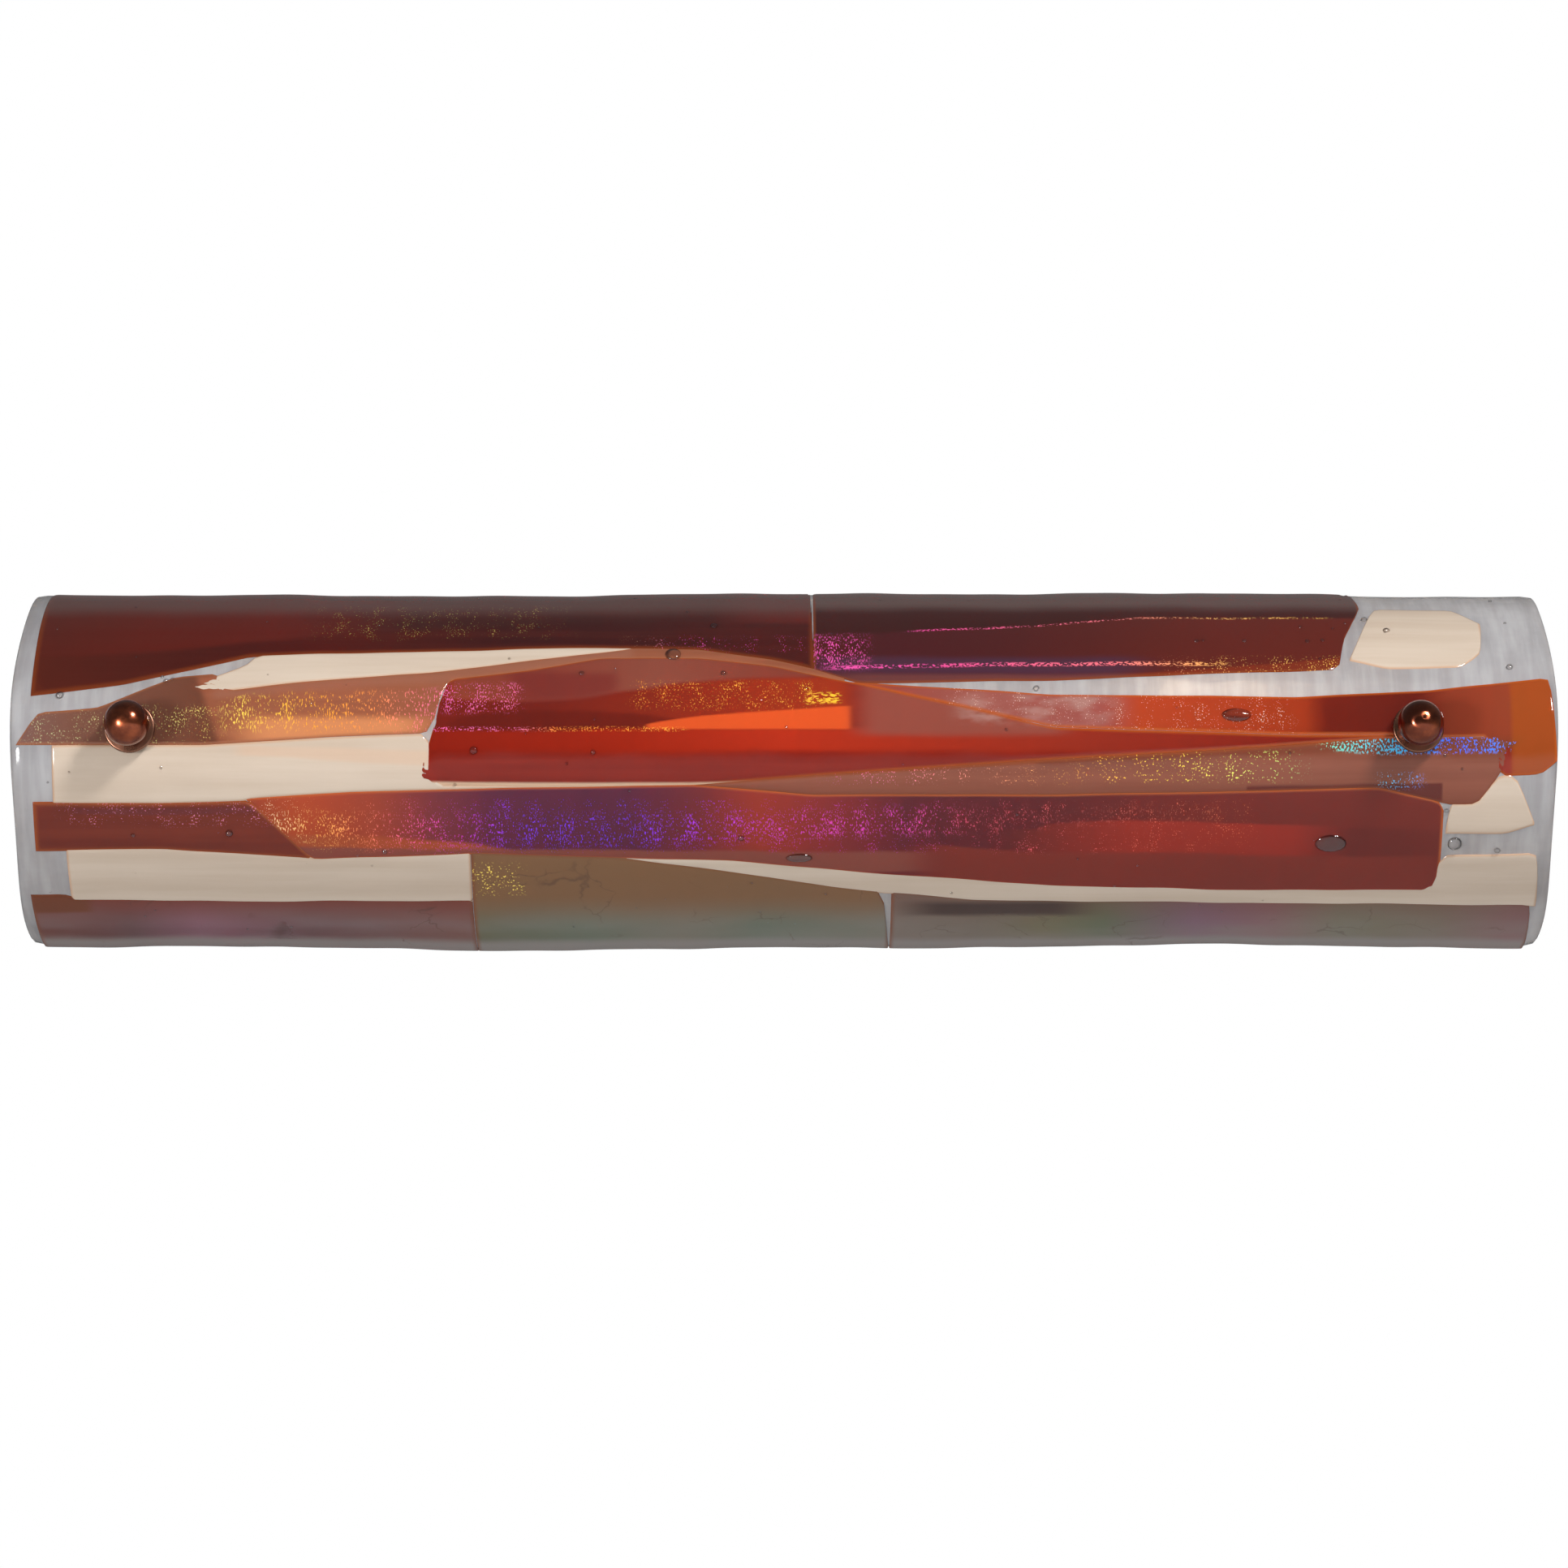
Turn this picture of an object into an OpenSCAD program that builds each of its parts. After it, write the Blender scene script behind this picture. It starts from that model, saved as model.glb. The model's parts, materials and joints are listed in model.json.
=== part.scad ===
// Three-lamp wall light with a trough-shaped fused glass shade.
// X runs along the light, +Z is up, the front faces -Y, and the wall is the plane y = 0.
// "depth" below is the distance from the wall, which is -y.

/* [Glass shade] */
// Length of the glass
shade_l = 610; // [480:5:760]
// Height of the clear sheet, from rim to rim
shade_h = 142; // [132:1:180]
// Depth of the clear sheet, from the rims to the crest
shade_d = 87; // [74:1:110]
// Radius of the clear sheet at the crest
crest_r = 47; // [36:1:56]
// Thickness of the clear sheet
sheet_t = 4.2; // [2.4:0.1:5]
// How far the coloured strips, once fused, stand over it
strip_t = 1.4; // [0.8:0.1:4]
// Radius of the sheet's four corners
corner_r = 9; // [3:1:20]
// Space between the rims and the wall
rim_gap = 12; // [6:1:30]
// How far the glass sits to the right of the middle
shade_shift = 4; // [-8:1:8]

/* [Knobs and posts] */
// From each end of the glass to its post
post_inset = 52; // [40:1:90]
// Diameter of a post
post_d = 10; // [8:0.5:14]
// Diameter of the threaded ends of a post
stud_d = 5; // [4:0.5:6]
// Length of thread inside a knob
stud_grip = 8; // [5:1:9]
// Diameter of a ball knob
knob_d = 18; // [16:1:26]
// Diameter of the collar behind the ball
collar_d = 11; // [9:0.5:14]
// Length of the collar behind the ball
collar_l = 1; // [0.5:0.5:4]
// Diameter of the metal washer behind a knob
washer_d = 20; // [16:1:26]
// Thickness of that washer
washer_t = 2.5; // [1.5:0.1:4]
// Diameter of the silicone gaskets
gasket_d = 16; // [13:0.5:20]
// Thickness of the silicone gaskets
gasket_t = 1.8; // [1.6:0.1:3]
// Diameter of the two holes in the glass
glass_hole_d = 9; // [8:0.5:12]

/* [Back pan] */
// From a post to the end of the pan
pan_past_post = 11; // [9:1:30]
// Height of the pan
pan_h = 104; // [96:1:120]
// Depth of the pan
pan_d = 20; // [18:1:26]
// Thickness of the pan's steel
pan_t = 1.2; // [0.8:0.1:2]
// Corner radius of the pan
pan_corner_r = 6; // [3:1:12]

/* [Lamps] */
// Distance between lamps
lamp_spacing = 177; // [120:1:190]
// Diameter of a bulb's globe
bulb_d = 51; // [40:1:60]
// Length of a bulb, from its contact to its top
bulb_l = 78; // [70:1:84]
// Thickness of a bulb's glass
bulb_wall = 1; // [0.6:0.1:1.5]
// Diameter of a bulb's screw cap
cap_d = 26; // [20:0.5:27]
// Length of a bulb's screw cap
cap_l = 22; // [18:1:24]
// Space between a bulb and the pan
bulb_gap = 2.5; // [1:0.5:10]
// Outer diameter of a lampholder
holder_d = 34; // [32:0.5:40]
// Height of a lampholder
holder_h = 30; // [26:1:32]
// Thickness of a lampholder's floor
holder_floor = 5; // [4:0.5:8]
// Thickness of a lampholder's wall
holder_wall = 2.5; // [1.5:0.1:4]
// Height of a lampholder's underside above the middle of the light
holder_z = -46; // [-48:1:-40]
// Width of a lampholder's steel bracket
leg_w = 16; // [12:1:24]
// Thickness of that bracket
leg_t = 1.6; // [1:0.1:2]

/* [Wall bracket] */
// Length of the bar on the wall
bar_l = 150; // [145:1:220]
// Height of the bar
bar_h = 25; // [23:1:32]
// Thickness of the bar
bar_t = 2.5; // [2:0.1:3]
// Distance between the middles of the wall screw slots
slot_spacing = 79.4; // [70:0.1:90]
// Length of a wall screw slot
slot_l = 14.3; // [10:0.1:20]
// Width of a wall screw slot
slot_w = 4.8; // [4:0.1:6]
// Distance between the two studs that hold the pan
pan_stud_spacing = 132; // [120:1:136]
// Diameter of those studs
pan_stud_d = 4.2; // [3:0.1:5]

/* [Wiring] */
// Outer diameter of a lead
lead_d = 2.6; // [2:0.1:2.8]
// Bend radius of a lead
lead_bend = 4; // [3:0.5:4]
// Diameter of a wire connector at its mouth
connector_d = 12; // [11:0.5:12]
// Length of a wire connector
connector_l = 22; // [16:1:26]

/* [Hidden] */
$fn = 96;

// Clearances
seat_gap = 0.3;            // between a part that moves and the part it rests on
thread_gap = 0.05;         // around a stud in its knob
slip_gap = 0.3;            // around a stud in a sleeve, and under a bulb's contact
cap_gap = 0.8;             // around a bulb's cap in its screw shell

// The shade is a three-centred arch: a crest arc between two side arcs
half_h = shade_h / 2;
side_r = (half_h^2 + (shade_d - crest_r)^2 - crest_r^2) / (2 * (half_h - crest_r));
side_offset = side_r - half_h;
join_angle = atan2(side_offset, shade_d - crest_r);
crest_centre = rim_gap + shade_d - crest_r;
glass_inside = rim_gap + shade_d - sheet_t;
glass_front = rim_gap + shade_d + strip_t;
corner_in = 0.96 * corner_r;

// Depths of the pieces clamped on a post
post_x = shade_l / 2 - post_inset;
post_end = glass_inside - seat_gap - gasket_t;
flange_front = glass_front + gasket_t;
washer_back = flange_front + seat_gap;
knob_back = washer_back + washer_t + seat_gap;
ball_centre = knob_back + collar_l + sqrt((knob_d / 2)^2 - (collar_d / 2)^2);
knob_bore_l = stud_grip + 2;
tail_nut_t = 4;
tail_washer_t = 1.2;
tail_end = pan_d - pan_t - tail_washer_t - tail_nut_t - 1;

// Lamps
LAMPS = [-lamp_spacing, 0, lamp_spacing];
lamp_depth = pan_d + bulb_gap + bulb_d / 2;
floor_z = holder_z + holder_floor;
tab_t = 1;
contact_z = floor_z + tab_t + slip_gap;
button_h = 1.5;
insulator_h = 3;
cap_z = contact_z + button_h + insulator_h + seat_gap;
globe_z = contact_z + bulb_l - bulb_d / 2;
neck_r = cap_d / 2 - 0.6;
bore_r = holder_d / 2 - holder_wall;
shell_t = bore_r - cap_d / 2 - cap_gap;
screw_d = 4;
screw_head_d = 7;
screw_head_t = 2.4;
leg_top_z = holder_z + 16;
leg_screw_z = holder_z + 8;

// Leads, bushings and connectors
lead_z = leg_top_z + 10;
lead_x = 4;
bushing_d = 14;
bushing_flange_d = 17;
bushing_flange_t = 1.5;
bushing_bore_d = 2 * lead_x + lead_d + 0.4;
lead_pitch = lead_d + 0.4;
black_depth = 8;
white_depth = 12;
outer_level = 6;
centre_level = 0;
mouth_z = 22;
lead_insert = 6;
connector_x = 40;
ground_z = -8;
ground_head_d = 8;
ground_head_t = 2.6;
ground_depth = bar_t + lead_d / 2;

// Wall bracket hardware
nut_t = 3.2;
nut_flats = 8;
cap_nut_flats = 9;
cap_nut_hex = 4;
cap_nut_bore = 7;

// Outlines of the glass strips as [x, z] seen from the front, from the middle of the glass.
// They are laid for a 610 x 145 sheet and stretch with it. A strip lies over those after it.
layout_l = 610;
layout_h = 145;
edge = 76;                 // past the rims
STRIPS = [
  ["tan_right", [[-35, -21], [11, -17.5], [106, -11.5], [170, -8], [234, -3.5], [291, -2.5],
    [280, -19], [273, -28], [263, -28], [234, -22], [170, -23.5], [106, -24.5], [11, -24.5]]],
  ["dichroic_band", [[-212, -26], [-171, -23.5], [-104, -22], [-37, -21], [259, -20],
    [260, -31], [257, -41], [260, -49], [258, -57], [170, -57], [106, -55.5], [43, -52],
    [-21, -47.5], [-123, -45], [-187, -47], [-200, -36]]],
  ["amber_centre", [[-134, 21], [-100, 25], [-72, 31], [-34, 31], [-5, 27], [30, 19],
    [106, 1], [202, -2], [240, -2], [240, -8], [106, -13], [30, -17], [-37, -21.5],
    [-104, -21.5], [-142, -21], [-144, -17], [-139, -5]]],
  ["amber_right", [[24, 20], [106, 14.5], [202, 13.5], [253, 16], [303.5, 22], [304, -12],
    [298, -17], [275, -18], [240, -6], [24, -6]]],
  ["amber_top", [[-297, 14], [-260, 19], [-235, 25.5], [-212, 32], [-161, 33.5], [-72, 36],
    [-34, 35], [-5, 30], [12, 26], [8, 48], [12, edge], [-297, edge]]],
  ["brown_top", [[0, 30], [30, 19.5], [106, 21], [170, 24], [222, 26], [220, 38], [227, 48],
    [231, 58], [227, edge], [0, edge]]],
  ["ivory_upper_left", [[-235, 18], [-212, 28], [-205, 38], [-72, 38], [-60, 35.5],
    [-104, 29], [-142, 24], [-190, 20], [-230, 15]]],
  ["tan_left", [[-302, -6], [-294, 7], [-270, 9], [-240, 22], [-72, 40], [-34, 40], [24, 30],
    [24, 15], [-125, 15], [-130, -1], [-180, -3], [-228, -6]]],
  ["amber_lower_left", [[-296, -27.5], [-244, -27.5], [-205, -26.5], [-195, -35],
    [-186, -46.7], [-244, -43.5], [-296, -44]]],
  ["ivory_mid_left", [[-288, -6.2], [-228, -4], [-135, 2], [-130, -18], [-60, -18], [-60, -24],
    [-180, -30], [-288, -27.5]]],
  ["ivory_lower_left", [[-284, -40], [-124, -40], [-124, -60], [-200, -60.5], [-284, -60]]],
  ["ivory_diagonal", [[-85, -44], [20, -44], [250, -50], [262, -46], [299, -45.5],
    [300, -61.5], [170, -61], [75, -60], [20, -56], [-5, -53]]],
  ["ivory_right", [[262, -24], [287, -16], [296, -35], [285, -38], [261, -38]]],
  ["ivory_upper_right", [[224, 30], [236, 56], [268, 56], [278, 48], [277, 34], [268, 27],
    [238, 26]]],
  ["amber_bottom_left", [[-300, -59], [-124, -59], [-124, -edge], [-300, -edge]]],
  ["olive_bottom", [[-124, -40], [43, -40], [40, -62], [43, -edge], [-124, -edge]]],
  ["iris_bottom", [[40, -55], [296, -55], [299, -64], [300, -edge], [40, -edge]]],
];

// ---------- helpers ----------

// Puts a shape drawn along +Z at a depth, pointing away from the wall
module forward(depth) translate([0, -depth, 0]) rotate([90, 0, 0]) children();

// A plain ring along +Z
module ring(outer_d, inner_d, h)
  difference() {
    cylinder(d = outer_d, h = h);
    translate([0, 0, -1]) cylinder(d = inner_d, h = h + 2);
  }

// A hexagonal nut along +Z
module hex_nut(flats, bore_d, h)
  difference() {
    cylinder(d = flats / cos(30), h = h, $fn = 6);
    translate([0, 0, -1]) cylinder(d = bore_d, h = h + 2);
  }

// A rectangle with round corners
module round_rect(l, h, r) {
  square([l - 2 * r, h], center = true);
  square([l, h - 2 * r], center = true);
  for (x = [-1, 1])
    for (z = [-1, 1])
      translate([x * (l / 2 - r), z * (h / 2 - r)]) circle(r = r);
}

// A pan-head screw along +Z: the head is below z = 0 and the shank above
module pan_screw(shank_d, shank_l, head_d, head_t) {
  translate([0, 0, -head_t]) cylinder(d = head_d, h = head_t);
  cylinder(d = shank_d, h = shank_l);
}

// One of the arch's three arcs in the [y, z] plane: a wedge of a ring about a centre
module arc_2d(depth, z, inner_r, outer_r, from, to) {
  reach = 1.3 * outer_r;
  mid = (from + to) / 2;
  translate([-depth, z])
    intersection() {
      difference() {
        circle(r = outer_r, $fn = 180);
        circle(r = inner_r, $fn = 180);
      }
      polygon([[0, 0], for (a = [from, mid, to]) reach * [-cos(a), sin(a)]]);
    }
}

// A layer of the shade that starts and ends at given heights over the clear sheet's outside
module arch_layer(low, high)
  translate([shade_shift - shade_l / 2, 0, 0]) rotate([90, 0, 90])
    linear_extrude(shade_l) {
      arc_2d(crest_centre, 0, crest_r + low, crest_r + high, -join_angle, join_angle);
      arc_2d(rim_gap, -side_offset, side_r + low, side_r + high, join_angle, 90);
      arc_2d(rim_gap, side_offset, side_r + low, side_r + high, -90, -join_angle);
    }

// What is cut off the four corners of the glass: the round is set in a little, so it meets the
// edges at a slight angle as a hand-ground corner does
module corner_waste()
  for (side = [-1, 1])
    translate([shade_shift + side * (shade_l / 2 - corner_in), -rim_gap - corner_in, 0])
      linear_extrude(shade_h * 2, center = true)
        difference() {
          translate([side * (corner_r + 1) / 2, (corner_r + 1) / 2])
            square(corner_r + 1, center = true);
          circle(r = corner_r);
        }

// The two holes through the glass
module glass_holes()
  for (x = [-post_x, post_x])
    translate([x, 0, 0]) forward(crest_centre) cylinder(d = glass_hole_d, h = crest_r + 20);

// The outline of one strip, stretched to the size of the glass
module outline(points)
  polygon([for (p = points) [p.x * shade_l / layout_l, p.y * (shade_h + 2 * strip_t) / layout_h]]);

// One coloured strip: its own outline less the strips that lie over it
module glass_strip(name) {
  i = search([name], STRIPS)[0];
  difference() {
    intersection() {
      arch_layer(0, strip_t);
      translate([shade_shift, 0, 0]) rotate([90, 0, 0])
        linear_extrude(glass_front + 1)
          difference() {
            outline(STRIPS[i][1]);
            for (k = [0:1:i - 1]) outline(STRIPS[k][1]);
          }
    }
    corner_waste();
    glass_holes();
  }
}

// A rod along X on the centre of the crest arc, used to fit gaskets to the glass
module crest_rod(r)
  translate([-shade_l, -crest_centre, 0]) rotate([0, 90, 0]) cylinder(r = r, h = 2 * shade_l);

// A lead that goes along +Z: each step is a straight length, then the way the next bend turns
module lead(steps, i = 0) {
  cylinder(d = lead_d, h = steps[i][0]);
  if (i < len(steps) - 1)
    translate([0, 0, steps[i][0]]) rotate([0, 0, steps[i][1]]) {
      translate([lead_bend, 0, 0]) rotate([90, 0, 0]) rotate([0, 0, 90])
        rotate_extrude(angle = 90) translate([lead_bend, 0]) circle(d = lead_d, $fn = 32);
      translate([lead_bend, 0, lead_bend]) rotate([0, 90, 0]) lead(steps, i + 1);
    }
}

// A lead from a lampholder, through its bushing and along the pan, into a connector
module lamp_lead(start_x, end_x, depth, level) {
  wall_start = lamp_depth - sqrt(bore_r^2 - (lead_x - lead_d / 2)^2) - 0.1;
  way = end_x > start_x ? 90 : -90;
  translate([start_x, -wall_start, lead_z]) rotate([-90, 0, 0])
    lead([
      [wall_start - depth - lead_bend, -90],
      [level - lead_z - 2 * lead_bend, way],
      [abs(end_x - start_x) - 2 * lead_bend, 180],
      [mouth_z + lead_insert - level - lead_bend, 0]
    ]);
}

// ---------- wall bracket ----------

module wall_bracket() color("silver")
  difference() {
    forward(0) linear_extrude(bar_t) round_rect(bar_l, bar_h, 4);
    for (side = [-1, 1]) {
      translate([side * slot_spacing / 2, 0, 0]) forward(-1)
        linear_extrude(bar_t + 2) round_rect(slot_l, slot_w, slot_w / 2 - 0.001);
      translate([side * pan_stud_spacing / 2, 0, 0]) forward(-1)
        cylinder(d = pan_stud_d, h = bar_t + 2);
    }
    translate([0, 0, ground_z]) forward(-1) cylinder(d = screw_d, h = bar_t + 2);
  }

module bracket_studs() color("gainsboro")
  for (side = [-1, 1])
    translate([side * pan_stud_spacing / 2, 0, 0]) forward(0.5)
      cylinder(d = pan_stud_d, h = pan_d + cap_nut_bore - 1);

module stud_nuts() color("gainsboro")
  for (side = [-1, 1])
    translate([side * pan_stud_spacing / 2, 0, 0]) forward(bar_t)
      hex_nut(nut_flats, pan_stud_d, nut_t);

module cap_nuts() color("gainsboro")
  for (side = [-1, 1])
    translate([side * pan_stud_spacing / 2, 0, 0]) forward(pan_d)
      difference() {
        union() {
          cylinder(d = cap_nut_flats / cos(30), h = cap_nut_hex, $fn = 6);
          translate([0, 0, cap_nut_hex]) sphere(d = cap_nut_flats - 0.6);
        }
        translate([0, 0, -10]) cylinder(d = pan_stud_d, h = 10 + cap_nut_bore);
        translate([0, 0, -10]) cylinder(d = 20, h = 10);
      }

module ground_screw() color("green")
  translate([0, 0, ground_z]) forward(bar_t) rotate([180, 0, 0])
    pan_screw(screw_d, bar_t - 0.5, ground_head_d, ground_head_t);

module ground_lead() color("green")
  translate([0, -ground_depth, ground_z + ground_head_d / 2]) rotate([0, 0, -90])
    lead([
      [mouth_z - 8 - ground_z - ground_head_d / 2 - lead_bend, 0],
      [white_depth - ground_depth - 2 * lead_bend, 180],
      [8 + lead_insert - lead_bend, 0]
    ]);

// ---------- back pan ----------

module back_pan() color("ivory")
  difference() {
    forward(0) linear_extrude(pan_d)
      round_rect(2 * (post_x + pan_past_post), pan_h, pan_corner_r);
    forward(-1) linear_extrude(pan_d - pan_t + 1)
      round_rect(2 * (post_x + pan_past_post - pan_t), pan_h - 2 * pan_t, pan_corner_r - pan_t);
    for (side = [-1, 1]) {
      translate([side * pan_stud_spacing / 2, 0, 0]) forward(0)
        cylinder(d = pan_stud_d + 2 * slip_gap, h = pan_d + 1);
      translate([side * post_x, 0, 0]) forward(0) cylinder(d = stud_d, h = pan_d + 1);
    }
    for (x = LAMPS) {
      translate([x, 0, leg_screw_z]) forward(0) cylinder(d = screw_d, h = pan_d + 1);
      translate([x, 0, lead_z]) forward(0) cylinder(d = bushing_d, h = pan_d + 1);
    }
  }

// A post with a threaded tail through the pan and a threaded tip through the glass
module post(x) color("peru")
  translate([x, 0, 0]) {
    forward(tail_end) cylinder(d = stud_d, h = pan_d - tail_end);
    forward(pan_d) cylinder(d = post_d, h = post_end - pan_d);
    forward(post_end) cylinder(d = stud_d, h = knob_back + stud_grip - post_end);
  }

module left_post() post(-post_x);
module right_post() post(post_x);

module post_lock_washers() color("silver")
  for (x = [-post_x, post_x])
    translate([x, 0, 0]) forward(pan_d - pan_t - tail_washer_t)
      ring(stud_d + 4, stud_d, tail_washer_t);

module post_nuts() color("gainsboro")
  for (x = [-post_x, post_x])
    translate([x, 0, 0]) forward(pan_d - pan_t - tail_washer_t - tail_nut_t)
      hex_nut(nut_flats, stud_d, tail_nut_t);

module inner_gaskets() color("whitesmoke", 0.6)
  for (x = [-post_x, post_x])
    intersection() {
      translate([x, 0, 0]) forward(post_end) ring(gasket_d, stud_d, gasket_t + 1);
      crest_rod(crest_r - sheet_t - seat_gap);
    }

// ---------- lampholders ----------

module lampholder(x) color("white")
  difference() {
    translate([x, -lamp_depth, holder_z]) cylinder(d = holder_d, h = holder_h);
    translate([x, -lamp_depth, floor_z]) cylinder(r = bore_r, h = holder_h);
    translate([x, -lamp_depth, holder_z - 1]) cylinder(d = screw_d, h = holder_floor - 0.5);
    for (dx = [-lead_x, lead_x])
      translate([x + dx, -lamp_depth, lead_z]) rotate([-90, 0, 0])
        cylinder(d = lead_d, h = holder_d);
  }

module left_lampholder() lampholder(LAMPS[0]);
module centre_lampholder() lampholder(LAMPS[1]);
module right_lampholder() lampholder(LAMPS[2]);

module screw_shells() color("gold")
  for (x = LAMPS)
    translate([x, -lamp_depth, floor_z])
      ring(2 * bore_r, 2 * (bore_r - shell_t), holder_h - holder_floor - 2);

module contact_tabs() color("goldenrod")
  for (x = LAMPS)
    translate([x, -lamp_depth, floor_z + tab_t / 2]) cube([14, 7, tab_t], center = true);

// An L-shaped bracket that carries a lampholder on the pan
module lamp_bracket(x) color("lightgray")
  difference() {
    union() {
      translate([x - leg_w / 2, -lamp_depth - leg_w / 2, holder_z - leg_t])
        cube([leg_w, lamp_depth + leg_w / 2 - pan_d, leg_t]);
      translate([x - leg_w / 2, -pan_d - leg_t, holder_z - leg_t])
        cube([leg_w, leg_t, leg_top_z - holder_z + leg_t]);
    }
    translate([x, -lamp_depth, holder_z - 10]) cylinder(d = screw_d, h = 20);
    translate([x, 0, leg_screw_z]) forward(pan_d - 1) cylinder(d = screw_d, h = 10);
  }

module left_lamp_bracket() lamp_bracket(LAMPS[0]);
module centre_lamp_bracket() lamp_bracket(LAMPS[1]);
module right_lamp_bracket() lamp_bracket(LAMPS[2]);

module holder_screws() color("silver")
  for (x = LAMPS)
    translate([x, -lamp_depth, holder_z - leg_t])
      pan_screw(screw_d, leg_t + holder_floor - 2, screw_head_d, screw_head_t);

module bracket_screws() color("silver")
  for (x = LAMPS)
    translate([x, 0, leg_screw_z]) forward(pan_d + leg_t) rotate([180, 0, 0])
      pan_screw(screw_d, leg_t + pan_t + 3, screw_head_d, screw_head_t);

// ---------- wiring ----------

module wire_bushings() color("dimgray")
  for (x = LAMPS)
    translate([x, 0, lead_z]) {
      forward(pan_d - 3) ring(bushing_d, bushing_bore_d, 3);
      forward(pan_d) ring(bushing_flange_d, bushing_bore_d, bushing_flange_t);
    }

module black_leads() color("black")
  for (i = [0:2])
    lamp_lead(LAMPS[i] + lead_x, connector_x + (i == 0 ? -1 : i == 1 ? 0 : 1) * lead_pitch,
      black_depth, i == 1 ? centre_level : outer_level);

module white_leads() color("white")
  for (i = [0:2])
    lamp_lead(LAMPS[i] - lead_x, -connector_x + (i == 0 ? -1 : i == 1 ? 0 : 1) * lead_pitch,
      white_depth, i == 1 ? centre_level : outer_level);

module wire_connector(x, depth)
  translate([x, -depth, mouth_z])
    difference() {
      cylinder(d1 = connector_d, d2 = connector_d * 0.65, h = connector_l);
      translate([0, 0, -1]) cylinder(d = 2 * lead_pitch + lead_d + 0.4, h = lead_insert + 2);
    }

module wire_connectors() {
  color("orange") wire_connector(connector_x, black_depth);
  color("orange") wire_connector(-connector_x, white_depth);
  color("green") wire_connector(0, white_depth);
}

// ---------- bulbs ----------

// The solid outline of a bulb's glass, drawn smaller by a wall for its inside
module envelope(wall) {
  join_r = bulb_d * 0.4;
  join_z = globe_z - sqrt((bulb_d / 2)^2 - join_r^2);
  cap_top = cap_z + cap_l;
  translate([0, 0, globe_z]) sphere(r = bulb_d / 2 - wall);
  translate([0, 0, cap_top])
    cylinder(r1 = neck_r - wall, r2 = join_r - wall, h = join_z - cap_top);
  translate([0, 0, cap_top - 6 - wall]) cylinder(r = neck_r - wall, h = 6 + wall);
}

module bulb_glass(x) color("white", 0.8)
  translate([x, -lamp_depth, 0])
    difference() {
      envelope(0);
      envelope(bulb_wall);
    }

module left_bulb_glass() bulb_glass(LAMPS[0]);
module centre_bulb_glass() bulb_glass(LAMPS[1]);
module right_bulb_glass() bulb_glass(LAMPS[2]);

module bulb_cap(x) color("silver")
  translate([x, -lamp_depth, cap_z]) ring(cap_d, 2 * neck_r, cap_l);

module left_bulb_cap() bulb_cap(LAMPS[0]);
module centre_bulb_cap() bulb_cap(LAMPS[1]);
module right_bulb_cap() bulb_cap(LAMPS[2]);

module bulb_contact(x) color("dimgray")
  translate([x, -lamp_depth, contact_z]) {
    cylinder(d = 9.5, h = button_h);
    translate([0, 0, button_h]) cylinder(d1 = 11, d2 = cap_d - 3, h = insulator_h);
  }

module left_bulb_contact() bulb_contact(LAMPS[0]);
module centre_bulb_contact() bulb_contact(LAMPS[1]);
module right_bulb_contact() bulb_contact(LAMPS[2]);

// ---------- glass ----------

module shade_sheet() color("gainsboro", 0.5)
  difference() {
    arch_layer(-sheet_t, 0);
    corner_waste();
    glass_holes();
  }

module tan_right() color("rosybrown") glass_strip("tan_right");
module dichroic_band() color("purple") glass_strip("dichroic_band");
module amber_centre() color("firebrick") glass_strip("amber_centre");
module amber_right() color("brown") glass_strip("amber_right");
module amber_top() color("maroon") glass_strip("amber_top");
module brown_top() color("saddlebrown") glass_strip("brown_top");
module ivory_upper_left() color("bisque") glass_strip("ivory_upper_left");
module tan_left() color("sienna") glass_strip("tan_left");
module amber_lower_left() color("firebrick") glass_strip("amber_lower_left");
module ivory_mid_left() color("bisque") glass_strip("ivory_mid_left");
module ivory_lower_left() color("bisque") glass_strip("ivory_lower_left");
module ivory_diagonal() color("bisque") glass_strip("ivory_diagonal");
module ivory_right() color("bisque") glass_strip("ivory_right");
module ivory_upper_right() color("bisque") glass_strip("ivory_upper_right");
module amber_bottom_left() color("maroon") glass_strip("amber_bottom_left");
module olive_bottom() color("darkolivegreen") glass_strip("olive_bottom");
module iris_bottom() color("slategray") glass_strip("iris_bottom");

// ---------- fixings of the glass ----------

module glass_grommets() color("whitesmoke", 0.6)
  for (x = [-post_x, post_x])
    difference() {
      translate([x, 0, 0]) {
        forward(glass_front - 2) ring(gasket_d, stud_d + 2 * slip_gap, gasket_t + 2);
        forward(glass_inside) ring(glass_hole_d, stud_d + 2 * slip_gap, glass_front - glass_inside);
      }
      difference() {
        crest_rod(crest_r + strip_t);
        translate([x, 0, 0]) forward(0) cylinder(d = glass_hole_d, h = glass_front);
      }
    }

module washer(x) color("saddlebrown")
  translate([x, 0, 0]) forward(washer_back) ring(washer_d, stud_d + 2 * slip_gap, washer_t);

module left_washer() washer(-post_x);
module right_washer() washer(post_x);

module knob(x) color("chocolate")
  translate([x, 0, 0])
    difference() {
      union() {
        forward(ball_centre) sphere(d = knob_d);
        forward(knob_back) cylinder(d = collar_d, h = ball_centre - knob_back);
      }
      forward(knob_back - 1) cylinder(d = stud_d + 2 * thread_gap, h = knob_bore_l + 1);
      forward(knob_back - 10) cylinder(d = 2 * knob_d, h = 10);
    }

module left_knob() knob(-post_x);
module right_knob() knob(post_x);

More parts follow.
